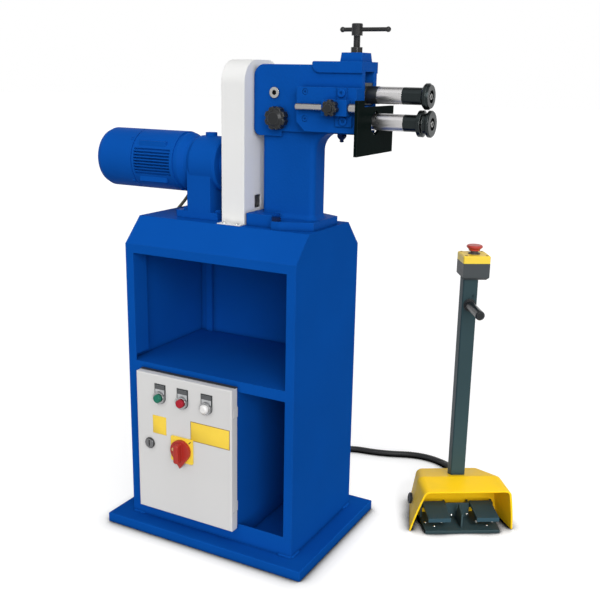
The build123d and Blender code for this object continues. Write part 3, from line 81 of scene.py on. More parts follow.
soft_light("front_light", turn=38, height=17, strength=1.8, spread=40)
soft_light("top_light", turn=20, height=65, strength=1.25, spread=80)
box_place = Vector((1.25, -0.6, 0.9))
box_target = Vector((0.54, 0.17, 0.04))
soft_box = bpy.data.lights.new("foot_light", "AREA")
soft_box.shape = "SQUARE"
soft_box.size = 0.4
soft_box.spread = math.radians(18)
soft_box.energy = 0.32
box_holder = bpy.data.objects.new("foot_light", soft_box)
box_holder.location = box_place
box_holder.rotation_euler = (box_target - box_place).to_track_quat("-Z", "Y").to_euler()
box_holder.visible_camera = False
scene.collection.objects.link(box_holder)


def put(tree, kind, *values, **options):
    node = tree.nodes.new("ShaderNode" + kind)
    for option, value in options.items():
        setattr(node, option, value)
    for socket, value in zip(node.inputs, values):
        if isinstance(value, bpy.types.NodeSocket):
            tree.links.new(value, socket)
        elif value is not None:
            socket.default_value = value
    return node


def seen_rays(tree):
    rays = put(tree, "LightPath").outputs
    direct = put(tree, "Math", rays["Is Camera Ray"], rays["Is Glossy Ray"], operation="MAXIMUM")
    through = put(tree, "Math", direct.outputs[0], rays["Is Transmission Ray"], operation="MAXIMUM")
    return through.outputs[0]


room_light = 0.5
ceiling_tone = 0.15
ceiling_start = 0.4
ceiling_end = 0.95
room = bpy.data.worlds.new("white_room")
scene.world = room
room.use_nodes = True
room_tree = room.node_tree
background = room_tree.nodes["Background"].inputs
room_strength = put(room_tree, "MapRange", seen_rays(room_tree), 0.0, 1.0, room_light, 1.0).outputs[0]
room_tree.links.new(room_strength, background["Strength"])
look = put(room_tree, "TexCoord").outputs["Generated"]
height = put(room_tree, "SeparateXYZ", look).outputs["Z"]
ceiling = put(room_tree, "MapRange", height, ceiling_start, ceiling_end, 1.0, ceiling_tone).outputs[0]
room_tree.links.new(ceiling, background["Color"])

# Floor: one pale sheet under the machine. The camera and the metal see it as white, and it keeps the
# shadows; painted shadow also darkens its colour and glow where something stands on it.
floor_reach = 30
floor_tone = (0.42, 0.42, 0.42)
floor_glow = 0.72
contact_reach = 0.045
contact_dark = 0.5
contact_clear = 0.95
floor_mesh = bpy.data.meshes.new("floor")
floor_corners = [(-floor_reach, -floor_reach, 0), (floor_reach, -floor_reach, 0),
                 (floor_reach, floor_reach, 0), (-floor_reach, floor_reach, 0)]
floor_mesh.from_pydata(floor_corners, [], [(0, 1, 2, 3)])
floor = bpy.data.objects.new("floor", floor_mesh)
scene.collection.objects.link(floor)
floor_paint = bpy.data.materials.new("floor_paint")
floor_paint.use_nodes = True
floor_tree = floor_paint.node_tree
floor_shader = floor_tree.nodes["Principled BSDF"].inputs
floor_shader["Roughness"].default_value = 0.95
floor_shader["Specular IOR Level"].default_value = 0.0
floor_shader["Emission Color"].default_value = (1, 1, 1, 1)
# Painted shadow: an occlusion mask darkens the floor's colour and glow next to whatever stands on it.
contact = put(floor_tree, "AmbientOcclusion", None, contact_reach, samples=8).outputs["AO"]
contact_shade = put(floor_tree, "MapRange", contact, contact_dark, contact_clear, 0.0, 1.0).outputs[0]
floor_grey = put(floor_tree, "VectorMath", floor_tone, operation="SCALE")
floor_tree.links.new(contact_shade, floor_grey.inputs["Scale"])
floor_tree.links.new(floor_grey.outputs[0], floor_shader["Base Color"])
full_glow = put(floor_tree, "Math", seen_rays(floor_tree), floor_glow, operation="MULTIPLY").outputs[0]
glow = put(floor_tree, "Math", full_glow, contact_shade, operation="MULTIPLY").outputs[0]
floor_tree.links.new(glow, floor_shader["Emission Strength"])
floor_mesh.materials.append(floor_paint)

# Base plate: a heavy steel plate with its top edge chamfered, which carries the welded stand. It is
# sprayed with the stand's blue enamel: a faint orange peel, uneven gloss, edges paler with wear and a
# painted highlight, and painted shade that darkens its corners.


def blend(tree, factor, first, second):
    node = put(tree, "Mix", data_type="RGBA")
    for index, value in ((0, factor), (6, first), (7, second)):
        if isinstance(value, bpy.types.NodeSocket):
            tree.links.new(value, node.inputs[index])
        else:
            node.inputs[index].default_value = value
    return node.outputs[2]


def skin_group(name, **inputs):
    group = bpy.data.node_groups.new(name, "ShaderNodeTree")
    for label, value in inputs.items():
        kind = "NodeSocketFloat" if isinstance(value, float) else "NodeSocketColor"
        socket = group.interface.new_socket(label, in_out="INPUT", socket_type=kind)
        socket.default_value = value
    group.interface.new_socket("Rounded", in_out="INPUT", socket_type="NodeSocketVector")
    group.interface.new_socket("Colour", in_out="OUTPUT", socket_type="NodeSocketColor")
    group.interface.new_socket("Roughness", in_out="OUTPUT", socket_type="NodeSocketFloat")
    group.interface.new_socket("Height", in_out="OUTPUT", socket_type="NodeSocketFloat")
    given = group.nodes.new("NodeGroupInput").outputs
    result = group.nodes.new("NodeGroupOutput").inputs
    where = put(group, "TexCoord").outputs["Object"]
    return group, given, result, where


# Rounded edges take the Edge colour, which stands for worn paint and for painted light along the edge.
def edge_mask(tree, rounded, strength):
    edge_start = 0.99
    edge_full = 0.8
    flat = put(tree, "NewGeometry").outputs["Normal"]
    alike = put(tree, "VectorMath", rounded, flat, operation="DOT_PRODUCT").outputs["Value"]
    mask = put(tree, "MapRange", alike, edge_start, edge_full, 0.0, 1.0).outputs[0]
    return put(tree, "Math", mask, strength, operation="MULTIPLY").outputs[0]


def around(tree, noise, middle, spread):
    noise_low = 0.3
    noise_high = 0.7
    low = put(tree, "Math", middle, spread, operation="SUBTRACT").outputs[0]
    high = put(tree, "Math", middle, spread, operation="ADD").outputs[0]
    return put(tree, "MapRange", noise, noise_low, noise_high, low, high).outputs[0]


enamel_skin, given, result, where = skin_group(
    "enamel_skin", Tone=(0.5, 0.5, 0.5, 1), Edge=(0.5, 0.5, 0.5, 1), Worn=0.4, Mottle=0.04,
    Sheen=0.4, Peel=420.0, Grime=0.5,
)
cloud_scale = 5.0
cloud_detail = 3.0
peel_detail = 2.0
gloss_spread = 0.05
painted_shade_darkness = 0.3
painted_shade_reach = 0.012
painted_shade_start = 0.92
painted_shade_full = 0.45
cloud = put(enamel_skin, "TexNoise", where, None, cloud_scale, cloud_detail).outputs[0]
peel = put(enamel_skin, "TexNoise", where, None, given["Peel"], peel_detail).outputs[0]
mottled = put(enamel_skin, "VectorMath", given["Tone"], operation="SCALE")
enamel_skin.links.new(around(enamel_skin, cloud, 1.0, given["Mottle"]), mottled.inputs["Scale"])
# Painted shade: the enamel's colour is darkened in corners and crevices, where less light reaches.
corner_shaded_tone = put(enamel_skin, "VectorMath", mottled.outputs[0], operation="SCALE")
corner_shaded_tone.inputs["Scale"].default_value = painted_shade_darkness
corner = put(enamel_skin, "AmbientOcclusion", None, painted_shade_reach, samples=6).outputs["AO"]
corner = put(enamel_skin, "MapRange", corner, painted_shade_start, painted_shade_full, 0.0, 1.0).outputs[0]
corner = put(enamel_skin, "Math", corner, given["Grime"], operation="MULTIPLY").outputs[0]
corner_shaded = blend(enamel_skin, corner, mottled.outputs[0], corner_shaded_tone.outputs[0])
edge = edge_mask(enamel_skin, given["Rounded"], given["Worn"])
enamel_skin.links.new(blend(enamel_skin, edge, corner_shaded, given["Edge"]), result["Colour"])
enamel_skin.links.new(around(enamel_skin, cloud, given["Sheen"], gloss_spread), result["Roughness"])
enamel_skin.links.new(peel, result["Height"])


def finish(name, skin, relief, rounding=0.0012, metallic=0.0, specular=0.5, **values):
    material = bpy.data.materials.new(name)
    material.use_nodes = True
    tree = material.node_tree
    shader = tree.nodes["Principled BSDF"].inputs
    shader["Metallic"].default_value = metallic
    shader["Specular IOR Level"].default_value = specular
    surface = tree.nodes.new("ShaderNodeGroup")
    surface.node_tree = skin
    for label, value in values.items():
        surface.inputs[label].default_value = value
    rounded = put(tree, "Bevel", rounding, samples=4).outputs["Normal"]
    bump = tree.nodes.new("ShaderNodeBump")
    bump.inputs["Distance"].default_value = relief
    tree.links.new(rounded, surface.inputs["Rounded"])
    tree.links.new(rounded, bump.inputs["Normal"])
    tree.links.new(surface.outputs["Height"], bump.inputs["Height"])
    tree.links.new(bump.outputs["Normal"], shader["Normal"])
    tree.links.new(surface.outputs["Colour"], shader["Base Color"])
    tree.links.new(surface.outputs["Roughness"], shader["Roughness"])
    return material


def dress(material, *nodes):
    for node in nodes:
        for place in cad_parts[node].material_slots:
            place.material = material


blue = (0.0032, 0.0755, 0.37, 1)
blue_edge = (0.011, 0.112, 0.47, 1)
blue_enamel = finish(
    "blue_enamel", enamel_skin, relief=0.00012, specular=0.001,
    Tone=blue, Edge=blue_edge, Worn=0.5, Mottle=0.05, Sheen=0.42,
)
dress(blue_enamel, "base_plate")

# Stand: gabled side panels, a ribbed back, a cut-out front frame, a folded top, a shelf and a bay
# divider, all of 3 mm sheet steel, welded together and sprayed with the same blue enamel.
dress(blue_enamel, "left_panel", "right_panel", "back_panel", "front_frame")
dress(blue_enamel, "top_cover", "shelf", "bay_divider")

# Weld beads: short fillet welds laid by hand round the four corners of the stand, which join it to the
# base plate. They are of steel and painted over with both.


def facing(place, out, up=(0, 0, 1)):
    out = Vector(out).normalized()
    across = Vector(up).cross(out).normalized()
    turn = Matrix((across, out.cross(across), out)).transposed()
    return Matrix.Translation(place) @ turn.to_4x4()


def wrap(form, low, high):
    for first in range(len(low)):
        second = (first + 1) % len(low)
        form.faces.new((low[first], low[second], high[second], high[first]))


def as_piece(form, name, material, crease):
    bmesh.ops.recalc_face_normals(form, faces=form.faces)
    mesh = bpy.data.meshes.new(name)
    form.to_mesh(mesh)
    form.free()
    for face in mesh.polygons:
        face.use_smooth = True
    mesh.set_sharp_from_angle(angle=math.radians(crease))
    mesh.materials.append(material)
    piece = bpy.data.objects.new(name, mesh)
    scene.collection.objects.link(piece)
    return piece


def lofted(name, rings, seats, material, body, hollow=False):
    form = bmesh.new()
    for seat in seats:
        loops = [[form.verts.new(seat @ Vector(point)) for point in ring] for ring in rings]
        steps = list(zip(loops, loops[1:]))
        if hollow:
            steps.append((loops[-1], loops[0]))
        else:
            form.faces.new(loops[0])
            form.faces.new(loops[-1])
        for low, high in steps:
            wrap(form, low, high)
    piece = as_piece(form, name, material, crease=32)
    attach(piece, body)


bead_length = 0.036
bead_reach = 0.005
bead_ripples = 9
ripple_steps = 6
ripple_depth = 0.18
bead_tip = 0.35
tip_taper = 6
arc_steps = 5
bead_steps = ripple_steps * bead_ripples
bead_arc = [math.pi / 2 * part / arc_steps for part in range(arc_steps + 1)]
bead_rings = []
for step in range(bead_steps + 1):
    along = step / bead_steps
    swell = 1 - ripple_depth + ripple_depth * abs(math.sin(math.pi * bead_ripples * along))
    reach = bead_reach * swell * min(1, bead_tip + tip_taper * along, bead_tip + tip_taper * (1 - along))
    level = along * bead_length
    bead_round = [(reach * math.cos(turn), reach * math.sin(turn), level) for turn in bead_arc]
    bead_rings.append([(0, 0, level)] + bead_round)
stand_corner = Vector((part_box("right_panel")[1].x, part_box("back_panel")[1].y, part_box("base_plate")[1].z))
bead_seats = []
for x_side, y_side in ((-1, -1), (-1, 1), (1, -1), (1, 1)):
    corner = stand_corner * Vector((x_side, y_side, 1))
    for out, inward in (((0, y_side, 0), (-x_side, 0, 0)), ((x_side, 0, 0), (0, -y_side, 0))):
        run = Vector(out).cross((0, 0, 1))
        along_wall = run.dot(inward) > 0
        start = corner if along_wall else corner + Vector(inward) * bead_length
        bead_seats.append(facing(start, run))
lofted("weld_beads", bead_rings, bead_seats, blue_enamel, "stand")

# Control enclosure: a folded steel box let into the front frame and a pan-shaped door on two pins,
# both in light grey powder coat.
grey_coat = finish(
    "grey_powder_coat", enamel_skin, relief=0.00015, specular=0.2,
    Tone=(0.68, 0.675, 0.67, 1), Edge=(0.8, 0.8, 0.8, 1), Worn=0.6, Mottle=0.02, Sheen=0.5, Peel=900.0,
)
dress(grey_coat, "enclosure_box", "enclosure_door")

# Switchgear: a zinc-plated mounting plate on four posts, with contactors, an overload relay and two
# terminal strips in dark moulded cases clipped onto it.
metal_skin, given, result, where = skin_group(
    "metal_skin", Tone=(0.6, 0.6, 0.6, 1), Edge=(0.8, 0.8, 0.8, 1), Worn=0.3, Sheen=0.3,
    Lines=900.0, Along=0.0,
)
line_detail = 3.0
line_shade = 0.06
haze_scale = 35.0
haze_detail = 3.0
haze_spread = 0.08
spot = put(metal_skin, "SeparateXYZ", where)
level = put(metal_skin, "Mix", given["Along"], None, spot.outputs["X"], spot.outputs["Z"]).outputs[0]
fine = put(metal_skin, "TexNoise", None, level, given["Lines"], line_detail, noise_dimensions="1D").outputs[0]
haze = put(metal_skin, "TexNoise", where, None, haze_scale, haze_detail).outputs[0]
lined = put(metal_skin, "VectorMath", given["Tone"], operation="SCALE")
metal_skin.links.new(around(metal_skin, fine, 1.0, line_shade), lined.inputs["Scale"])
edge = edge_mask(metal_skin, given["Rounded"], given["Worn"])
metal_skin.links.new(blend(metal_skin, edge, lined.outputs[0], given["Edge"]), result["Colour"])
metal_skin.links.new(around(metal_skin, haze, given["Sheen"], haze_spread), result["Roughness"])
metal_skin.links.new(fine, result["Height"])


def below(material, axis, height, tone, shine=None):
    tree = material.node_tree
    shader = tree.nodes["Principled BSDF"].inputs
    spot = put(tree, "SeparateXYZ", put(tree, "TexCoord").outputs["Object"])
    under = put(tree, "Math", spot.outputs[axis], height, operation="LESS_THAN").outputs[0]
    colour = shader["Base Color"].links[0].from_socket
    tree.links.new(blend(tree, under, colour, tone), shader["Base Color"])
    if shine is not None:
        metallic = shader["Metallic"].default_value
        masked = put(tree, "MapRange", under, 0.0, 1.0, metallic, shine).outputs[0]
        tree.links.new(masked, shader["Metallic"])


plate_front = -0.0445
case_tone = (0.05, 0.052, 0.055, 1)
zinc_plate = finish(
    "zinc_plate", metal_skin, relief=0.00004, metallic=0.9,
    Tone=(0.58, 0.58, 0.55, 1), Edge=(0.7, 0.7, 0.68, 1), Worn=0.3, Sheen=0.42, Lines=300.0, Along=1.0,
)
below(zinc_plate, "Y", plate_front, case_tone, shine=0.0)
dress(zinc_plate, "control_gear")

# Legend plates: moulded holders snapped round the three bezels, each with a silver face and a plain
# darker band above the button.
moulded_skin, given, result, where = skin_group(
    "moulded_skin", Tone=(0.5, 0.5, 0.5, 1), Edge=(0.5, 0.5, 0.5, 1), Worn=0.3, Mottle=0.03, Sheen=0.4,
    Grain=1600.0,
)
flow_scale = 18.0
flow_detail = 2.0
flow = put(moulded_skin, "TexNoise", where, None, flow_scale, flow_detail).outputs[0]
grain = put(moulded_skin, "TexVoronoi", where, None, given["Grain"]).outputs["Distance"]
mottled = put(moulded_skin, "VectorMath", given["Tone"], operation="SCALE")
moulded_skin.links.new(around(moulded_skin, flow, 1.0, given["Mottle"]), mottled.inputs["Scale"])
edge = edge_mask(moulded_skin, given["Rounded"], given["Worn"])
moulded_skin.links.new(blend(moulded_skin, edge, mottled.outputs[0], given["Edge"]), result["Colour"])
moulded_skin.links.new(around(moulded_skin, flow, given["Sheen"], gloss_spread), result["Roughness"])
moulded_skin.links.new(grain, result["Height"])

door_low, door_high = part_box("enclosure_door")
door_face = door_low.y
button_row = 0.353
button_places = (-0.1145, -0.051, 0.0155)
legend_half = 0.0155
legend_rise = 0.032
legend_hole = 0.0147
legend_steps = 48
legend_corner = math.atan2(legend_rise, legend_half)
legend_turns = [math.radians(360 / legend_steps * step) for step in range(legend_steps)]
legend_turns = sorted(legend_turns + [legend_corner, math.pi - legend_corner])
holder_top = 0.0016
holder_shoulder = 0.0011
holder_bevel = 0.0006
face_top = 0.002
face_foot_inset = 0.0025
face_inset = 0.0026


def hole_ring(level):
    return [(legend_hole * math.cos(turn), legend_hole * math.sin(turn), level) for turn in legend_turns]


def legend_ring(inset, level):
    smallest = 1e-6
    ring = []
    for turn in legend_turns:
        reach = legend_half - inset
        if math.sin(turn) > 0:
            reach = min(reach / max(abs(math.cos(turn)), smallest), (legend_rise - inset) / math.sin(turn))
        ring.append((reach * math.cos(turn), reach * math.sin(turn), level))
    return ring


def rounded_ring(width, height, corner, level, middle=(0, 0)):
    corner_steps = 5
    ring = []
    for quarter, (x_side, y_side) in enumerate(((1, 1), (-1, 1), (-1, -1), (1, -1))):
        centre_x = middle[0] + x_side * (width / 2 - corner)
        centre_y = middle[1] + y_side * (height / 2 - corner)
        for step in range(corner_steps + 1):
            turn = (quarter + step / corner_steps) * math.pi / 2
            ring.append((centre_x + corner * math.cos(turn), centre_y + corner * math.sin(turn), level))
    return ring


def plate_rings(width, height, corner, foot, shoulder, top, inset, top_corner, middle=(0, 0)):
    return [
        rounded_ring(width, height, corner, foot, middle),
        rounded_ring(width, height, corner, shoulder, middle),
        rounded_ring(width - inset, height - inset, top_corner, top, middle),
    ]


legend_seats = [facing((x, door_face, button_row), (0, -1, 0)) for x in button_places]
black_case = finish(
    "black_case", moulded_skin, relief=0.00006, specular=0.25,
    Tone=(0.03, 0.033, 0.035, 1), Edge=(0.08, 0.085, 0.09, 1), Sheen=0.5,
)
lofted(
    "legend_holders",
    [hole_ring(0), hole_ring(holder_top), legend_ring(holder_bevel, holder_top),
     legend_ring(0, holder_shoulder), legend_ring(0, 0)],
    legend_seats, black_case, "door", hollow=True,
)
silver_face = finish(
    "silver_face", metal_skin, relief=0.00002, metallic=0.4, specular=0.4,
    Tone=(0.52, 0.53, 0.54, 1), Edge=(0.7, 0.7, 0.7, 1), Sheen=0.4, Lines=500.0,
)
lofted(
    "legend_faces",
    [hole_ring(holder_top), hole_ring(face_top), legend_ring(face_inset, face_top),
     legend_ring(face_foot_inset, holder_top)],
    legend_seats, silver_face, "door", hollow=True,
)
grey_band = finish(
    "grey_band", moulded_skin, relief=0.00003,
    Tone=(0.075, 0.078, 0.082, 1), Edge=(0.15, 0.15, 0.15, 1), Sheen=0.4,
)
lofted(
    "legend_bands",
    plate_rings(width=0.0262, height=0.0098, corner=0.0008, foot=face_top, shoulder=0.0024, top=0.0026,
                inset=0.0006, top_corner=0.0006, middle=(0, 0.0245)),
    legend_seats, grey_band, "door",
)

# Push buttons and pilot lamp: turned chrome bezels screwed through the door, with moulded caps in
# green, red and milky white.
chrome = finish(
    "bright_chrome", metal_skin, relief=0.00002, metallic=1.0,
    Tone=(0.34, 0.345, 0.35, 1), Edge=(0.8, 0.8, 0.8, 1), Worn=0.6, Sheen=0.16, Lines=700.0,
)
dress(chrome, "button_bezels")
# Painted shade: the green cap's rim takes a darker edge colour.
green_cap = finish(
    "green_cap", moulded_skin, relief=0.00003, specular=0.2,
    Tone=(0.011, 0.165, 0.105, 1), Edge=(0.004, 0.05, 0.035, 1), Worn=0.8, Sheen=0.4,
)
dress(green_cap, "start_button")
red_cap = finish(
    "red_cap", moulded_skin, relief=0.00003, specular=0.2,
    Tone=(0.38, 0.012, 0.026, 1), Edge=(0.16, 0.006, 0.012, 1), Worn=0.8, Sheen=0.4,
)
dress(red_cap, "stop_button")
white_lens = finish(
    "white_lens", moulded_skin, relief=0.00003, specular=0.3,
    Tone=(0.8, 0.79, 0.78, 1), Edge=(0.85, 0.85, 0.85, 1), Sheen=0.22,
)
dress(white_lens, "pilot_lamp")

# Door lock: a slotted quarter-turn head of die-cast zinc, with its shank and cam behind the door. Its rim
# and slot are painted dark as shade, and its flat face lighter as a painted highlight.
lock_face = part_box("door_lock")[0].y
face_highlight_depth = 0.0002
face_highlight_tone = (0.17, 0.17, 0.174, 1)
lock_chrome = finish(
    "lock_chrome", metal_skin, relief=0.00003, metallic=1.0,
    Tone=(0.035, 0.036, 0.037, 1), Edge=(0.5, 0.5, 0.5, 1), Worn=0.3, Sheen=0.2, Lines=900.0,
)
# Painted highlight: the flat face is coloured lighter than the dark rim and slot.
below(lock_chrome, "Y", lock_face + face_highlight_depth, face_highlight_tone)
dress(lock_chrome, "door_lock")

# Main switch: a square yellow plate with one black index mark and a red rotary handle, all moulded,
# with a turned brass padlock eye let into the handle's disc.
yellow_plate = finish(
    "yellow_plate", moulded_skin, relief=0.00003, specular=0.35,
    Tone=(0.94, 0.67, 0.055, 1), Edge=(0.97, 0.76, 0.2, 1), Sheen=0.4,
)
dress(yellow_plate, "switch_plate")
red_handle = finish(
    "red_handle", moulded_skin, relief=0.00004, specular=0.3,
    Tone=(0.4, 0.028, 0.02, 1), Edge=(0.6, 0.1, 0.08, 1), Sheen=0.38,
)
dress(red_handle, "switch_handle")
mark_inset = 0.008
switch_low, switch_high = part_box("switch_plate")
mark_place = (switch_high.x - mark_inset, switch_low.y, switch_high.z - mark_inset)
mark_seat = facing(mark_place, (0, -1, 0), up=(1, 0, 1))
lofted(
    "switch_index",
    plate_rings(width=0.0022, height=0.0078, corner=0.0006, foot=0, shoulder=0.0004, top=0.0006,
                inset=0.0005, top_corner=0.0005),
    [mark_seat], black_case, "door",
)
round_steps = 24


def circle(radius, level):
    turns = [2 * math.pi * step / round_steps for step in range(round_steps)]
    return [(radius * math.cos(turn), radius * math.sin(turn), level) for turn in turns]


def turned(*profile):
    return [circle(radius, level) for radius, level in profile]


brass_eye = finish(
    "brass_eye", metal_skin, relief=0.00003, metallic=0.6,
    Tone=(0.62, 0.4, 0.16, 1), Edge=(0.8, 0.6, 0.3, 1), Sheen=0.35,
)
eye_seat = facing((-0.0715, -0.1903, 0.2365), (0, -1, 0))
lofted(
    "padlock_eye",
    turned((0.0042, -0.0005), (0.0042, 0.0009), (0.0036, 0.0013), (0.0024, 0.0011), (0.0022, 0.0002)),
    [eye_seat], brass_eye, "switch_handle",
)

# Door plates: two thin plates of plain yellow plastic, glued flat onto the door's face; the wide one
# has a thin brown border.
plate_border = finish(
    "plate_border", moulded_skin, relief=0.00002,
    Tone=(0.3, 0.16, 0.012, 1), Edge=(0.4, 0.24, 0.05, 1), Sheen=0.4,
)
label_yellow = finish(
    "label_yellow", moulded_skin, relief=0.00002, specular=0.3,
    Tone=(0.86, 0.6, 0.06, 1), Edge=(0.9, 0.7, 0.2, 1), Sheen=0.42,
)
wide_seat = facing((0.0235, door_face, 0.287), (0, -1, 0))
small_seat = facing((-0.1185, door_face, 0.2825), (0, -1, 0))
lofted(
    "wide_plate_border",
    plate_rings(width=0.107, height=0.048, corner=0.001, foot=0, shoulder=0.0003, top=0.0004,
                inset=0.0004, top_corner=0.0009),
    [wide_seat], plate_border, "door",
)
lofted(
    "wide_plate",
    plate_rings(width=0.1042, height=0.0452, corner=0.0006, foot=0.0002, shoulder=0.0005, top=0.0006,
                inset=0.0004, top_corner=0.0005),
    [wide_seat], label_yellow, "door",
)
lofted(
    "small_plate",
    plate_rings(width=0.039, height=0.045, corner=0.001, foot=0, shoulder=0.0003, top=0.0004,
                inset=0.0004, top_corner=0.0009),
    [small_seat], label_yellow, "door",
)

# Shadow strip: a thin black strip on the frame along the top of the door, a painted shadow in the gap
# above it.
strip_depth = 0.0095
strip_height = 0.0016
strip_corner = 0.0005
strip_gap = 0.0005
tip_depth = 0.0089
tip_height = 0.0012
tip_corner = 0.00025
tip_length = 0.0004
strip_length = door_high.x - door_low.x
strip_middle = (-stand_corner.y - strip_depth / 2, door_high.z + strip_gap + strip_height / 2)
strip_seat = facing((door_low.x, *strip_middle), (1, 0, 0))
lofted(
    "shadow_strip",
    [rounded_ring(tip_depth, tip_height, tip_corner, 0),
     rounded_ring(strip_depth, strip_height, strip_corner, tip_length),
     rounded_ring(strip_depth, strip_height, strip_corner, strip_length - tip_length),
     rounded_ring(tip_depth, tip_height, tip_corner, strip_length)],
    [strip_seat], black_case, "stand",
)

# Geared motor: a finned cast frame with a terminal box, a pressed fan cowl with a grille, and a
# gearbox on its foot, sprayed blue as one unit.
blue_motor = finish(
    "blue_motor_enamel", enamel_skin, relief=0.0002, specular=0.008,
    Tone=blue, Edge=blue_edge, Worn=0.5, Mottle=0.06, Sheen=0.4, Peel=300.0, Grime=0.0,
)
dress(blue_motor, "motor_frame", "fan_cowl", "gearbox_housing")

# Motor fasteners: four cowl screws, the terminal box lid with its screws, and the four bolts that
# hold the gearbox foot to the top of the stand, all painted over with the motor.
cowl_low, cowl_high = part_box("fan_cowl")
motor_axis_z = (cowl_low.z + cowl_high.z) / 2
cowl_screw_x = -0.2775
cowl_screw_reach = 0.0698
terminal_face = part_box("motor_frame")[1].y
lid_thickness = 0.005
stand_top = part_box("top_cover")[1].z
gearbox_foot = 0.016
key_taper = 0.98


def hexagon(across, level):
    ring = []
    for step in range(round_steps):
        turn = 2 * math.pi * step / round_steps
        reach = across / 2 / math.cos(turn % (math.pi / 3) - math.pi / 6)
        ring.append((reach * math.cos(turn), reach * math.sin(turn), level))
    return ring


def socket_head(radius, height, key):
    rim = 0.12 * radius
    socket_floor = 0.45 * height
    head = turned((radius, 0), (radius, height - rim), (radius - rim, height))
    return head + [hexagon(key, height), hexagon(key_taper * key, socket_floor)]


def button_head(radius, height, key):
    dome = ((1, 0), (0.96, 0.35), (0.78, 0.8), (0.55, 1))
    socket_floor = 0.4 * height
    head = [circle(radius * wide, height * high) for wide, high in dome]
    return head + [hexagon(key, height), hexagon(key_taper * key, socket_floor)]


def hex_head(across, height):
    chamfer_start = 0.86 * height
    face_radius = 0.47 * across
    dish_radius = 0.3 * across
    dish_level = 0.97 * height
    flats = [hexagon(across, 0), hexagon(across, chamfer_start)]
    return flats + turned((face_radius, height), (dish_radius, dish_level))


cowl_seats = []
for degrees in (45, 135, 225, 315):
    turn = math.radians(degrees)
    out = Vector((0, math.cos(turn), math.sin(turn)))
    screw_place = Vector((cowl_screw_x, 0, motor_axis_z)) + out * cowl_screw_reach
    cowl_seats.append(facing(screw_place, out, up=(1, 0, 0)))
cowl_screw = button_head(radius=0.0042, height=0.0024, key=0.0032)
lofted("cowl_screws", cowl_screw, cowl_seats, blue_motor, "stand")
lid_seat = facing((-0.195, terminal_face, motor_axis_z), (0, 1, 0))
lofted(
    "terminal_lid",
    plate_rings(width=0.08, height=0.072, corner=0.004, foot=0, shoulder=0.0035, top=lid_thickness,
                inset=0.004, top_corner=0.003),
    [lid_seat], blue_motor, "stand",
)
lid_corners = [(x, y) for x in (-0.032, 0.032) for y in (-0.028, 0.028)]
lid_screw_seats = [lid_seat @ Matrix.Translation((x, y, lid_thickness)) for x, y in lid_corners]
lid_screw = button_head(radius=0.0036, height=0.002, key=0.0028)
lofted("terminal_lid_screws", lid_screw, lid_screw_seats, blue_motor, "stand")
foot_top = stand_top + gearbox_foot
foot_places = [(x, y, foot_top) for x in (-0.1315, -0.0425) for y in (-0.04, 0.04)]
foot_seats = [facing(place, (0, 0, 1), up=(0, 1, 0)) for place in foot_places]
foot_bolt = hex_head(across=0.013, height=0.0055)
lofted("gearbox_bolts", foot_bolt, foot_seats, blue_motor, "stand")

# Chain drive: output shaft, two sprockets and a roller chain inside the guard, all blackened steel
# apart from the ground shaft.
ground_steel = finish(
    "ground_steel", metal_skin, relief=0.00003, metallic=1.0,
    Tone=(0.56, 0.55, 0.55, 1), Edge=(0.75, 0.75, 0.75, 1), Worn=0.3, Sheen=0.3, Lines=1800.0,
)
dress(ground_steel, "output_shaft")
dark_steel = finish(
    "blackened_steel", metal_skin, relief=0.00006, metallic=0.8,
    Tone=(0.04, 0.046, 0.048, 1), Edge=(0.2, 0.2, 0.2, 1), Worn=0.5, Sheen=0.36, Lines=900.0,
)
dress(dark_steel, "drive_sprocket", "driven_sprocket", "drive_chain")

# Chain guard: a bent steel sheet cover in satin white, held by its two foot flanges with four
# zinc-plated screws.
white_enamel = finish(
    "white_enamel", enamel_skin, relief=0.0001, specular=0.3,
    Tone=(0.81, 0.81, 0.8, 1), Edge=(0.9, 0.9, 0.9, 1), Worn=0.5, Mottle=0.02, Sheen=0.36,
)
dress(white_enamel, "chain_guard")
bright_zinc = finish(
    "bright_zinc", metal_skin, relief=0.00003, metallic=1.0,
    Tone=(0.66, 0.66, 0.64, 1), Edge=(0.82, 0.82, 0.8, 1), Worn=0.4, Sheen=0.28, Lines=700.0,
)
flange_thickness = 0.002
flange_top = stand_top + flange_thickness
flange_places = [(x, y, flange_top) for x in (0.004, 0.037) for y in (-0.086, 0.086)]
guard_seats = [facing(place, (0, 0, 1), up=(0, 1, 0)) for place in flange_places]
guard_screw = button_head(radius=0.005, height=0.0028, key=0.003)
lofted("guard_screws", guard_screw, guard_seats, bright_zinc, "stand")

# Head casting: cast iron with foot, column and C-shaped throat under the same blue; the casting's
# skin shows through the paint. Blued hexagon bolts hold it to the stand.
blue_casting = finish(
    "blue_casting", enamel_skin, relief=0.0005, rounding=0.0025, specular=0.008,
    Tone=blue, Edge=blue_edge, Worn=0.5, Mottle=0.06, Sheen=0.42, Peel=160.0,
)
dress(blue_casting, "head_casting")
blued_bolts = finish(
    "blued_bolts", metal_skin, relief=0.00004, metallic=0.3, specular=0.1,
    Tone=(0.004, 0.014, 0.065, 1), Edge=(0.01, 0.045, 0.16, 1), Worn=0.5, Sheen=0.45, Lines=500.0, Along=1.0,
)
dress(blued_bolts, "hex_bolts")

# Grease nipple: a turned steel nipple in the hexagon under the head, through which the lower shaft's
# bushes are greased.
nipple_seat = facing((0.248, 0, 0.958), (0, 0, -1), up=(0, 1, 0))
lofted(
    "grease_nipple",
    turned((0.0088, 0), (0.0086, 0.0018), (0.0058, 0.0048), (0.0042, 0.0066), (0.0038, 0.0076),
           (0.0047, 0.0088), (0.0045, 0.0102), (0.003, 0.0114), (0.0012, 0.0116)),
    [nipple_seat], blued_bolts, "stand",
)

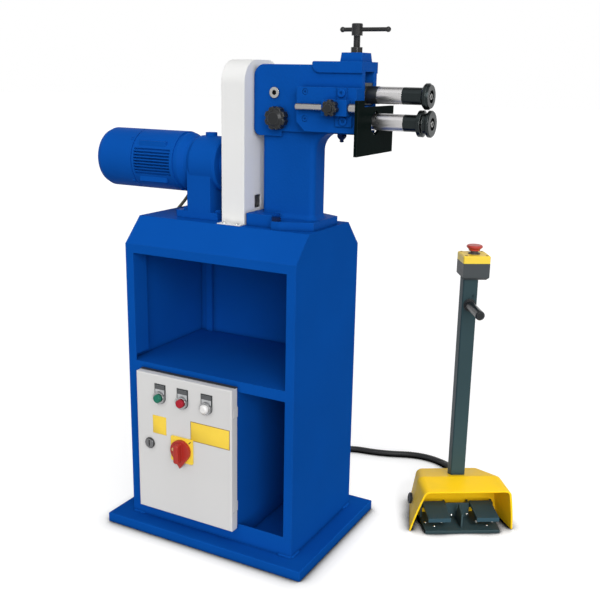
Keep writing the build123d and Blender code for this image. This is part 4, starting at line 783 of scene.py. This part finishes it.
# Shafts: two ground steel shafts, one above the other, geared together by equal spur gears of
# blackened steel. The lower one runs in two bronze bushes in the head.
dress(ground_steel, "lower_shaft", "upper_shaft")
bronze = finish(
    "bronze", metal_skin, relief=0.00004, metallic=1.0,
    Tone=(0.5, 0.33, 0.14, 1), Edge=(0.6, 0.42, 0.2, 1), Worn=0.3, Sheen=0.35, Lines=900.0,
)
dress(bronze, "lower_bushes")
dress(dark_steel, "lower_gear", "upper_gear")

# Upper bearings: a rear block of blackened steel that rocks on two trunnion screws, and a front one that
# slides in its slot over a lift spring. The trunnion screws have bright heads whose sockets are painted
# dark as shade.
dress(dark_steel, "rear_block", "front_block")
dress(ground_steel, "lift_spring")
trunnion_low, trunnion_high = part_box("trunnion_screws")
trunnion_middle = (trunnion_low + trunnion_high) / 2
socket_start = 0.0002
socket_rim = trunnion_high.y - socket_start
socket_reach = 0.0059
socket_shade_tone = (0.015, 0.016, 0.017, 1)
trunnion_steel = finish(
    "trunnion_steel", metal_skin, relief=0.00003, metallic=1.0,
    Tone=(0.4, 0.4, 0.39, 1), Edge=(0.75, 0.75, 0.73, 1), Worn=0.4, Sheen=0.28, Lines=700.0,
)
# Painted shade: the walls and floor of each screw's socket are coloured near black.
screw_tree = trunnion_steel.node_tree
screw_shader = screw_tree.nodes["Principled BSDF"].inputs
spot = put(screw_tree, "TexCoord").outputs["Object"]
apart = put(screw_tree, "VectorMath", spot, trunnion_middle, operation="SUBTRACT").outputs[0]
across = put(screw_tree, "VectorMath", apart, (1, 0, 1), operation="MULTIPLY").outputs[0]
reach = put(screw_tree, "VectorMath", across, operation="LENGTH").outputs["Value"]
inside = put(screw_tree, "Math", reach, socket_reach, operation="LESS_THAN").outputs[0]
sideways = put(screw_tree, "SeparateXYZ", spot).outputs["Y"]
depth = put(screw_tree, "Math", sideways, operation="ABSOLUTE").outputs[0]
sunk = put(screw_tree, "Math", depth, socket_rim, operation="LESS_THAN").outputs[0]
socket = put(screw_tree, "Math", inside, sunk, operation="MULTIPLY").outputs[0]
screw_colour = screw_shader["Base Color"].links[0].from_socket
screw_tree.links.new(blend(screw_tree, socket, screw_colour, socket_shade_tone), screw_shader["Base Color"])
dress(trunnion_steel, "trunnion_screws")

# Pressure gear: a crowned pad, a threaded spindle with a cross hub, its hexagon bush and a sliding
# tommy bar, all of dark turned steel.
gunmetal = finish(
    "gunmetal", metal_skin, relief=0.00001, metallic=0.9,
    Tone=(0.036, 0.036, 0.036, 1), Edge=(0.3, 0.3, 0.3, 1), Worn=0.6, Sheen=0.24, Lines=200.0, Along=1.0,
)
dress(gunmetal, "pressure_pad", "screw_nut", "tommy_bar")
thread_pitch = 0.002
thread_depth = 0.0005
wave_factor = 20
thread_scale = 2 * math.pi / thread_pitch / wave_factor
spindle_steel = finish(
    "spindle_steel", metal_skin, relief=0.00001, metallic=0.9,
    Tone=(0.042, 0.042, 0.042, 1), Edge=(0.3, 0.3, 0.3, 1), Worn=0.6, Sheen=0.24, Lines=200.0, Along=1.0,
)
spindle_tree = spindle_steel.node_tree
spindle_shader = spindle_tree.nodes["Principled BSDF"].inputs
spot = put(spindle_tree, "TexCoord").outputs["Object"]
ridges = put(spindle_tree, "TexWave", spot, thread_scale, wave_type="BANDS", bands_direction="Z")
thread = spindle_tree.nodes.new("ShaderNodeBump")
thread.inputs["Distance"].default_value = thread_depth
spindle_tree.links.new(spindle_shader["Normal"].links[0].from_socket, thread.inputs["Normal"])
spindle_tree.links.new(ridges.outputs["Fac"], thread.inputs["Height"])
spindle_tree.links.new(thread.outputs["Normal"], spindle_shader["Normal"])
dress(spindle_steel, "pressure_screw")

# Rolls: hardened and blackened, the upper with a bead and the lower with its groove, each held on its
# shaft by a washer and a steel socket screw in the end recess; the washer is painted near black as the
# recess's shade.
roll_steel = finish(
    "roll_steel", metal_skin, relief=0.00004, metallic=0.85,
    Tone=(0.019, 0.025, 0.026, 1), Edge=(0.24, 0.25, 0.25, 1), Worn=0.7, Sheen=0.22, Lines=900.0,
)
dress(roll_steel, "upper_roll", "lower_roll")
# Painted shade: the washer is coloured near black, as the shade in the roll's end recess.
washer_steel = finish(
    "washer_steel", metal_skin, relief=0.00004, metallic=0.6, specular=0.1,
    Tone=(0.014, 0.016, 0.017, 1), Edge=(0.06, 0.06, 0.06, 1), Worn=0.4, Sheen=0.45, Lines=700.0,
)
screw_steel = finish(
    "screw_steel", metal_skin, relief=0.00003, metallic=1.0,
    Tone=(0.22, 0.22, 0.215, 1), Edge=(0.5, 0.5, 0.49, 1), Worn=0.6, Sheen=0.26, Lines=700.0,
)
washer_top = 0.0018
washer_shoulder = 0.0012
washer = turned((0.0128, 0), (0.0128, washer_shoulder), (0.0122, washer_top), (0.005, washer_top),
                (0.005, washer_shoulder))
roll_screw = socket_head(radius=0.0065, height=0.0042, key=0.006)
recess_depth = 0.006
for line, roll, axis_z in (("upper_line", "upper_roll", 1.047), ("lower_line", "lower_roll", 0.993)):
    recess_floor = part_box(roll)[1].x - recess_depth
    washer_seat = facing((recess_floor, 0, axis_z), (1, 0, 0))
    lofted(line + "_washer", washer, [washer_seat], washer_steel, line)
    screw_seat = washer_seat @ Matrix.Translation((0, 0, washer_top))
    lofted(line + "_screw", roll_screw, [screw_seat], screw_steel, line)

# Back stop: a painted bracket with two socket screws and two round bosses on its pads, a drawn rod, a
# black enamelled plate with a hexagonal cut-out, and the two black moulded star knobs.
dress(blue_casting, "stop_bracket")
bracket_face = -0.057
bracket_seats = [facing((0.19, bracket_face, z), (0, -1, 0)) for z in (1.051, 0.996)]
bracket_screw = socket_head(radius=0.0061, height=0.0046, key=0.0046)
lofted("bracket_screws", bracket_screw, bracket_seats, blue_casting, "stand")
pad_face = -0.0655
boss_seats = [facing((x, pad_face, z), (0, -1, 0)) for x, z in ((0.276, 1.0505), (0.281, 0.994))]
boss = turned((0.009, 0), (0.009, 0.0024), (0.0083, 0.0032), (0.0032, 0.0032), (0.003, 0.001))
lofted("bracket_bosses", boss, boss_seats, blue_casting, "stand")
rod_steel = finish(
    "rod_steel", metal_skin, relief=0.00003, metallic=1.0,
    Tone=(0.34, 0.33, 0.325, 1), Edge=(0.65, 0.65, 0.65, 1), Worn=0.3, Sheen=0.28, Lines=1200.0,
)
dress(rod_steel, "stop_rod")
black_gloss = finish(
    "black_gloss", enamel_skin, relief=0.00005, specular=0.003,
    Tone=(0.003, 0.0072, 0.0066, 1), Edge=(0.06, 0.07, 0.07, 1), Worn=0.6, Mottle=0.05, Sheen=0.3,
)
dress(black_gloss, "stop_plate")
# Painted highlight: the knobs' lobes take a pale edge colour.
black_knob = finish(
    "black_knob", moulded_skin, relief=0.00005, specular=0.28,
    Tone=(0.01, 0.0115, 0.013, 1), Edge=(0.17, 0.18, 0.18, 1), Worn=0.6, Sheen=0.24,
)
dress(black_knob, "stop_knob", "shaft_knob")

# Foot station base: a dark coated plate with pivot ears, a middle web and the switch housing, held
# together by six bright screws.
anthracite = finish(
    "anthracite_coat", enamel_skin, relief=0.00015, specular=0.2,
    Tone=(0.026, 0.05, 0.057, 1), Edge=(0.065, 0.1, 0.11, 1), Worn=0.5, Mottle=0.05, Sheen=0.45, Peel=900.0,
)
dress(anthracite, "foot_base")
station_turn = math.radians(32)
station_place = Matrix.Translation((0.5097, 0.2028, 0)) @ Matrix.Rotation(station_turn, 4, "Z")
base_top = 0.008
base_holes = ((0.0845, 0.0286), (0.044, 0.029), (0.066, 0.0105))
base_places = [(side * u, v, base_top) for side in (-1, 1) for u, v in base_holes]
base_seats = [station_place @ Matrix.Translation(place) for place in base_places]
base_screw = button_head(radius=0.0034, height=0.002, key=0.0022)
lofted("base_screws", base_screw, base_seats, bright_zinc, "stand")

# Middle plate: a flat steel plate that stands between the pedals in the base's dark coat, hides their
# pivot and is held by two bright screws.
plate_width = 0.0615
plate_height = 0.0385
plate_thickness = 0.003
plate_bevel = 0.0006
middle_seat = station_place @ facing((0, 0.0575, base_top + plate_height / 2), (0, -1, 0))
lofted(
    "middle_plate",
    plate_rings(plate_width, plate_height, corner=0.003, foot=0, shoulder=plate_thickness - plate_bevel,
                top=plate_thickness, inset=2 * plate_bevel, top_corner=0.0024),
    [middle_seat], anthracite, "stand",
)
plate_holes = ((-0.0125, -0.0135), (0.026, -0.0115))
plate_seats = [middle_seat @ Matrix.Translation((u, z, plate_thickness)) for u, z in plate_holes]
plate_screw = button_head(radius=0.0036, height=0.0022, key=0.0024)
lofted("plate_screws", plate_screw, plate_seats, bright_zinc, "stand")

# Foot station hood: a moulded shell in signal yellow with rounded corners and a bulkhead behind the
# pedals; a black rubber plug closes the spare cable entry on its left flank.
yellow_shell = finish(
    "yellow_shell", moulded_skin, relief=0.00008, specular=0.06,
    Tone=(0.99, 0.615, 0.01, 1), Edge=(0.99, 0.76, 0.08, 1), Worn=0.6, Sheen=0.42, Grain=1100.0,
)
dress(yellow_shell, "foot_hood")
plug_seat = station_place @ facing((-0.1137, 0.078, 0.05), (-1, 0, 0.12))
lofted(
    "hood_plug",
    turned((0.0135, -0.001), (0.014, 0.002), (0.0136, 0.0045), (0.0122, 0.0058), (0.0085, 0.0062),
           (0.007, 0.0046)),
    [plug_seat], black_case, "stand",
)

# Pedals: two flat steel plates in a dark coat, which tip on cross pins between the base's ears when
# a foot presses them.
pedal_coat = finish(
    "pedal_coat", enamel_skin, relief=0.0002, specular=0.15,
    Tone=(0.02, 0.053, 0.072, 1), Edge=(0.065, 0.11, 0.13, 1), Worn=0.6, Mottle=0.05, Sheen=0.45, Peel=900.0,
)
dress(pedal_coat, "left_pedal", "right_pedal")

# Pole and grip: a square steel tube in a dark coat that stands on the hood, with a round black grip to
# move the station by and a small painted screw in its front.
pole_coat = finish(
    "pole_coat", enamel_skin, relief=0.00015, specular=0.15,
    Tone=(0.027, 0.056, 0.064, 1), Edge=(0.06, 0.1, 0.11, 1), Worn=0.5, Mottle=0.05, Sheen=0.5, Peel=700.0,
)
dress(pole_coat, "pole")
dress(black_knob, "grip")
pole_screw_seat = station_place @ facing((0.008, 0.069, 0.582), (0, -1, 0))
pole_screw = button_head(radius=0.0036, height=0.0022, key=0.0026)
lofted("pole_screw", pole_screw, [pole_screw_seat], pole_coat, "stand")

# Stop box: a dark grey moulded case on top of the pole, closed by a moulded yellow lid with a screw in
# each corner.
grey_case = finish(
    "grey_case", moulded_skin, relief=0.00006, specular=0.3,
    Tone=(0.046, 0.054, 0.058, 1), Edge=(0.085, 0.095, 0.1, 1), Sheen=0.5,
)
dress(grey_case, "estop_box")
dress(yellow_plate, "estop_lid")
lid_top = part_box("estop_lid")[1].z
lid_place = station_place @ Matrix.Translation((0.009, 0.092, lid_top))
corner_places = [(u, v, 0) for u in (-0.025, 0.025) for v in (-0.025, 0.025)]
corner_seats = [lid_place @ Matrix.Translation(place) for place in corner_places]
ochre_screws = finish(
    "ochre_screws", moulded_skin, relief=0.00003,
    Tone=(0.34, 0.22, 0.03, 1), Edge=(0.55, 0.4, 0.1, 1), Sheen=0.4,
)
corner_screw = button_head(radius=0.0032, height=0.0014, key=0.0024)
lofted("lid_screws", corner_screw, corner_seats, ochre_screws, "stand")

# Stop button: a red moulded mushroom cap on a grey stem, which presses straight down through a moulded
# guide collar fixed to the lid.
red_mushroom = finish(
    "red_mushroom", moulded_skin, relief=0.00004, specular=0.35,
    Tone=(0.47, 0.045, 0.03, 1), Edge=(0.66, 0.16, 0.12, 1), Sheen=0.36,
)
stem_tone = (0.075, 0.066, 0.062, 1)
stem_top = 0.6885
stem_grey = finish(
    "stem_grey", moulded_skin, relief=0.00004, specular=0.3,
    Tone=stem_tone, Edge=(0.14, 0.12, 0.11, 1), Sheen=0.45,
)
below(red_mushroom, "Z", stem_top, stem_tone)
dress(red_mushroom, "estop_button")
lofted(
    "guide_collar",
    turned((0.0094, 0), (0.0094, 0.0026), (0.0132, 0.0026), (0.014, 0.0018), (0.0144, 0)),
    [lid_place], stem_grey, "stand", hollow=True,
)

# Cable glands: black moulded hexagon nuts with round noses, screwed in at both ends of each cable, and
# a spare one in the back of the stand.
dress(black_knob, "cable_glands")

# Pedal cable: a 16 mm corrugated conduit from the back of the stand over the floor to the foot
# station, 0.84 m long, in black polymer.
black_conduit = finish(
    "black_conduit", moulded_skin, relief=0.00006, specular=0.45,
    Tone=(0.012, 0.0125, 0.0135, 1), Edge=(0.03, 0.03, 0.03, 1), Sheen=0.34,
)


def cable_line(name, route):
    line = bpy.data.curves.new(name, "CURVE")
    line.dimensions = "3D"
    line.resolution_u = 24
    spline = line.splines.new("NURBS")
    spline.points.add(len(route) - 1)
    for point, place in zip(spline.points, route):
        point.co = (*place, 1)
    spline.order_u = 3
    spline.use_endpoint_u = True
    return line


pedal_route = [
    (-0.06, 0.174, 0.06),
    (-0.06, 0.28, 0.06),
    (-0.035, 0.4, 0.008),
    (0.06, 0.492, 0.008),
    (0.165, 0.505, 0.008),
    (0.27, 0.556, 0.008),
    (0.368, 0.53, 0.008),
    (0.40754, 0.44555, 0.03),
    (0.44463, 0.38619, 0.03),
]
conduit_diameter = 0.016
conduit_valley = 0.0143
conduit_pitch = 0.0048
conduit_sides = 16
ring_steps = (0.4, 0.12, 0.36, 0.12)
ring_radii = (conduit_diameter / 2, conduit_diameter / 2, conduit_valley / 2, conduit_valley / 2)
pedal_line = bpy.data.objects.new("pedal_line", cable_line("pedal_line", pedal_route))
line_mesh = bpy.data.meshes.new_from_object(pedal_line)
pedal_path = [point.co.copy() for point in line_mesh.vertices]
bpy.data.objects.remove(pedal_line)
bpy.data.meshes.remove(line_mesh)

conduit = bmesh.new()
travelled = 0.0
next_ring = 0.0
ring_number = 0
overhead = Vector((0, 0, 1))
last_loop = None
for start, end in zip(pedal_path, pedal_path[1:]):
    run = end - start
    ahead = run.normalized()
    overhead = (overhead - ahead * overhead.dot(ahead)).normalized()
    aside = ahead.cross(overhead)
    while next_ring <= travelled + run.length:
        centre = start + ahead * (next_ring - travelled)
        phase = ring_number % len(ring_steps)
        radius = ring_radii[phase]
        loop = []
        for side in range(conduit_sides):
            turn = 2 * math.pi * side / conduit_sides
            out = aside * math.cos(turn) + overhead * math.sin(turn)
            loop.append(conduit.verts.new(centre + out * radius))
        if last_loop is None:
            conduit.faces.new(loop)
        else:
            wrap(conduit, last_loop, loop)
        last_loop = loop
        next_ring += conduit_pitch * ring_steps[phase]
        ring_number += 1
    travelled += run.length
conduit.faces.new(last_loop)
pedal_flex = as_piece(conduit, "pedal_flex", black_conduit, crease=50)
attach(pedal_flex, "stand")
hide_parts("pedal_cable")

# Motor lead: an 8 mm olive-grey lead from the terminal box round to the stand's left side, 0.249 m
# long, with a smooth sheath.
olive_sheath = finish(
    "olive_sheath", moulded_skin, relief=0.00005,
    Tone=(0.09, 0.09, 0.06, 1), Edge=(0.14, 0.14, 0.1, 1), Sheen=0.45,
)
lead_route = [
    (-0.195, 0.086, 0.829875),
    (-0.195, 0.086, 0.805875),
    (-0.29, 0.086, 0.707),
    (-0.29, 0.086, 0.655),
    (-0.241, 0.086, 0.655),
]
lead_diameter = 0.008
lead_line = cable_line("motor_flex", lead_route)
lead_line.bevel_depth = lead_diameter / 2
lead_line.bevel_resolution = 5
lead_line.use_fill_caps = True
lead_line.materials.append(olive_sheath)
motor_flex = bpy.data.objects.new("motor_flex", lead_line)
scene.collection.objects.link(motor_flex)
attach(motor_flex, "stand")
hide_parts("motor_lead")
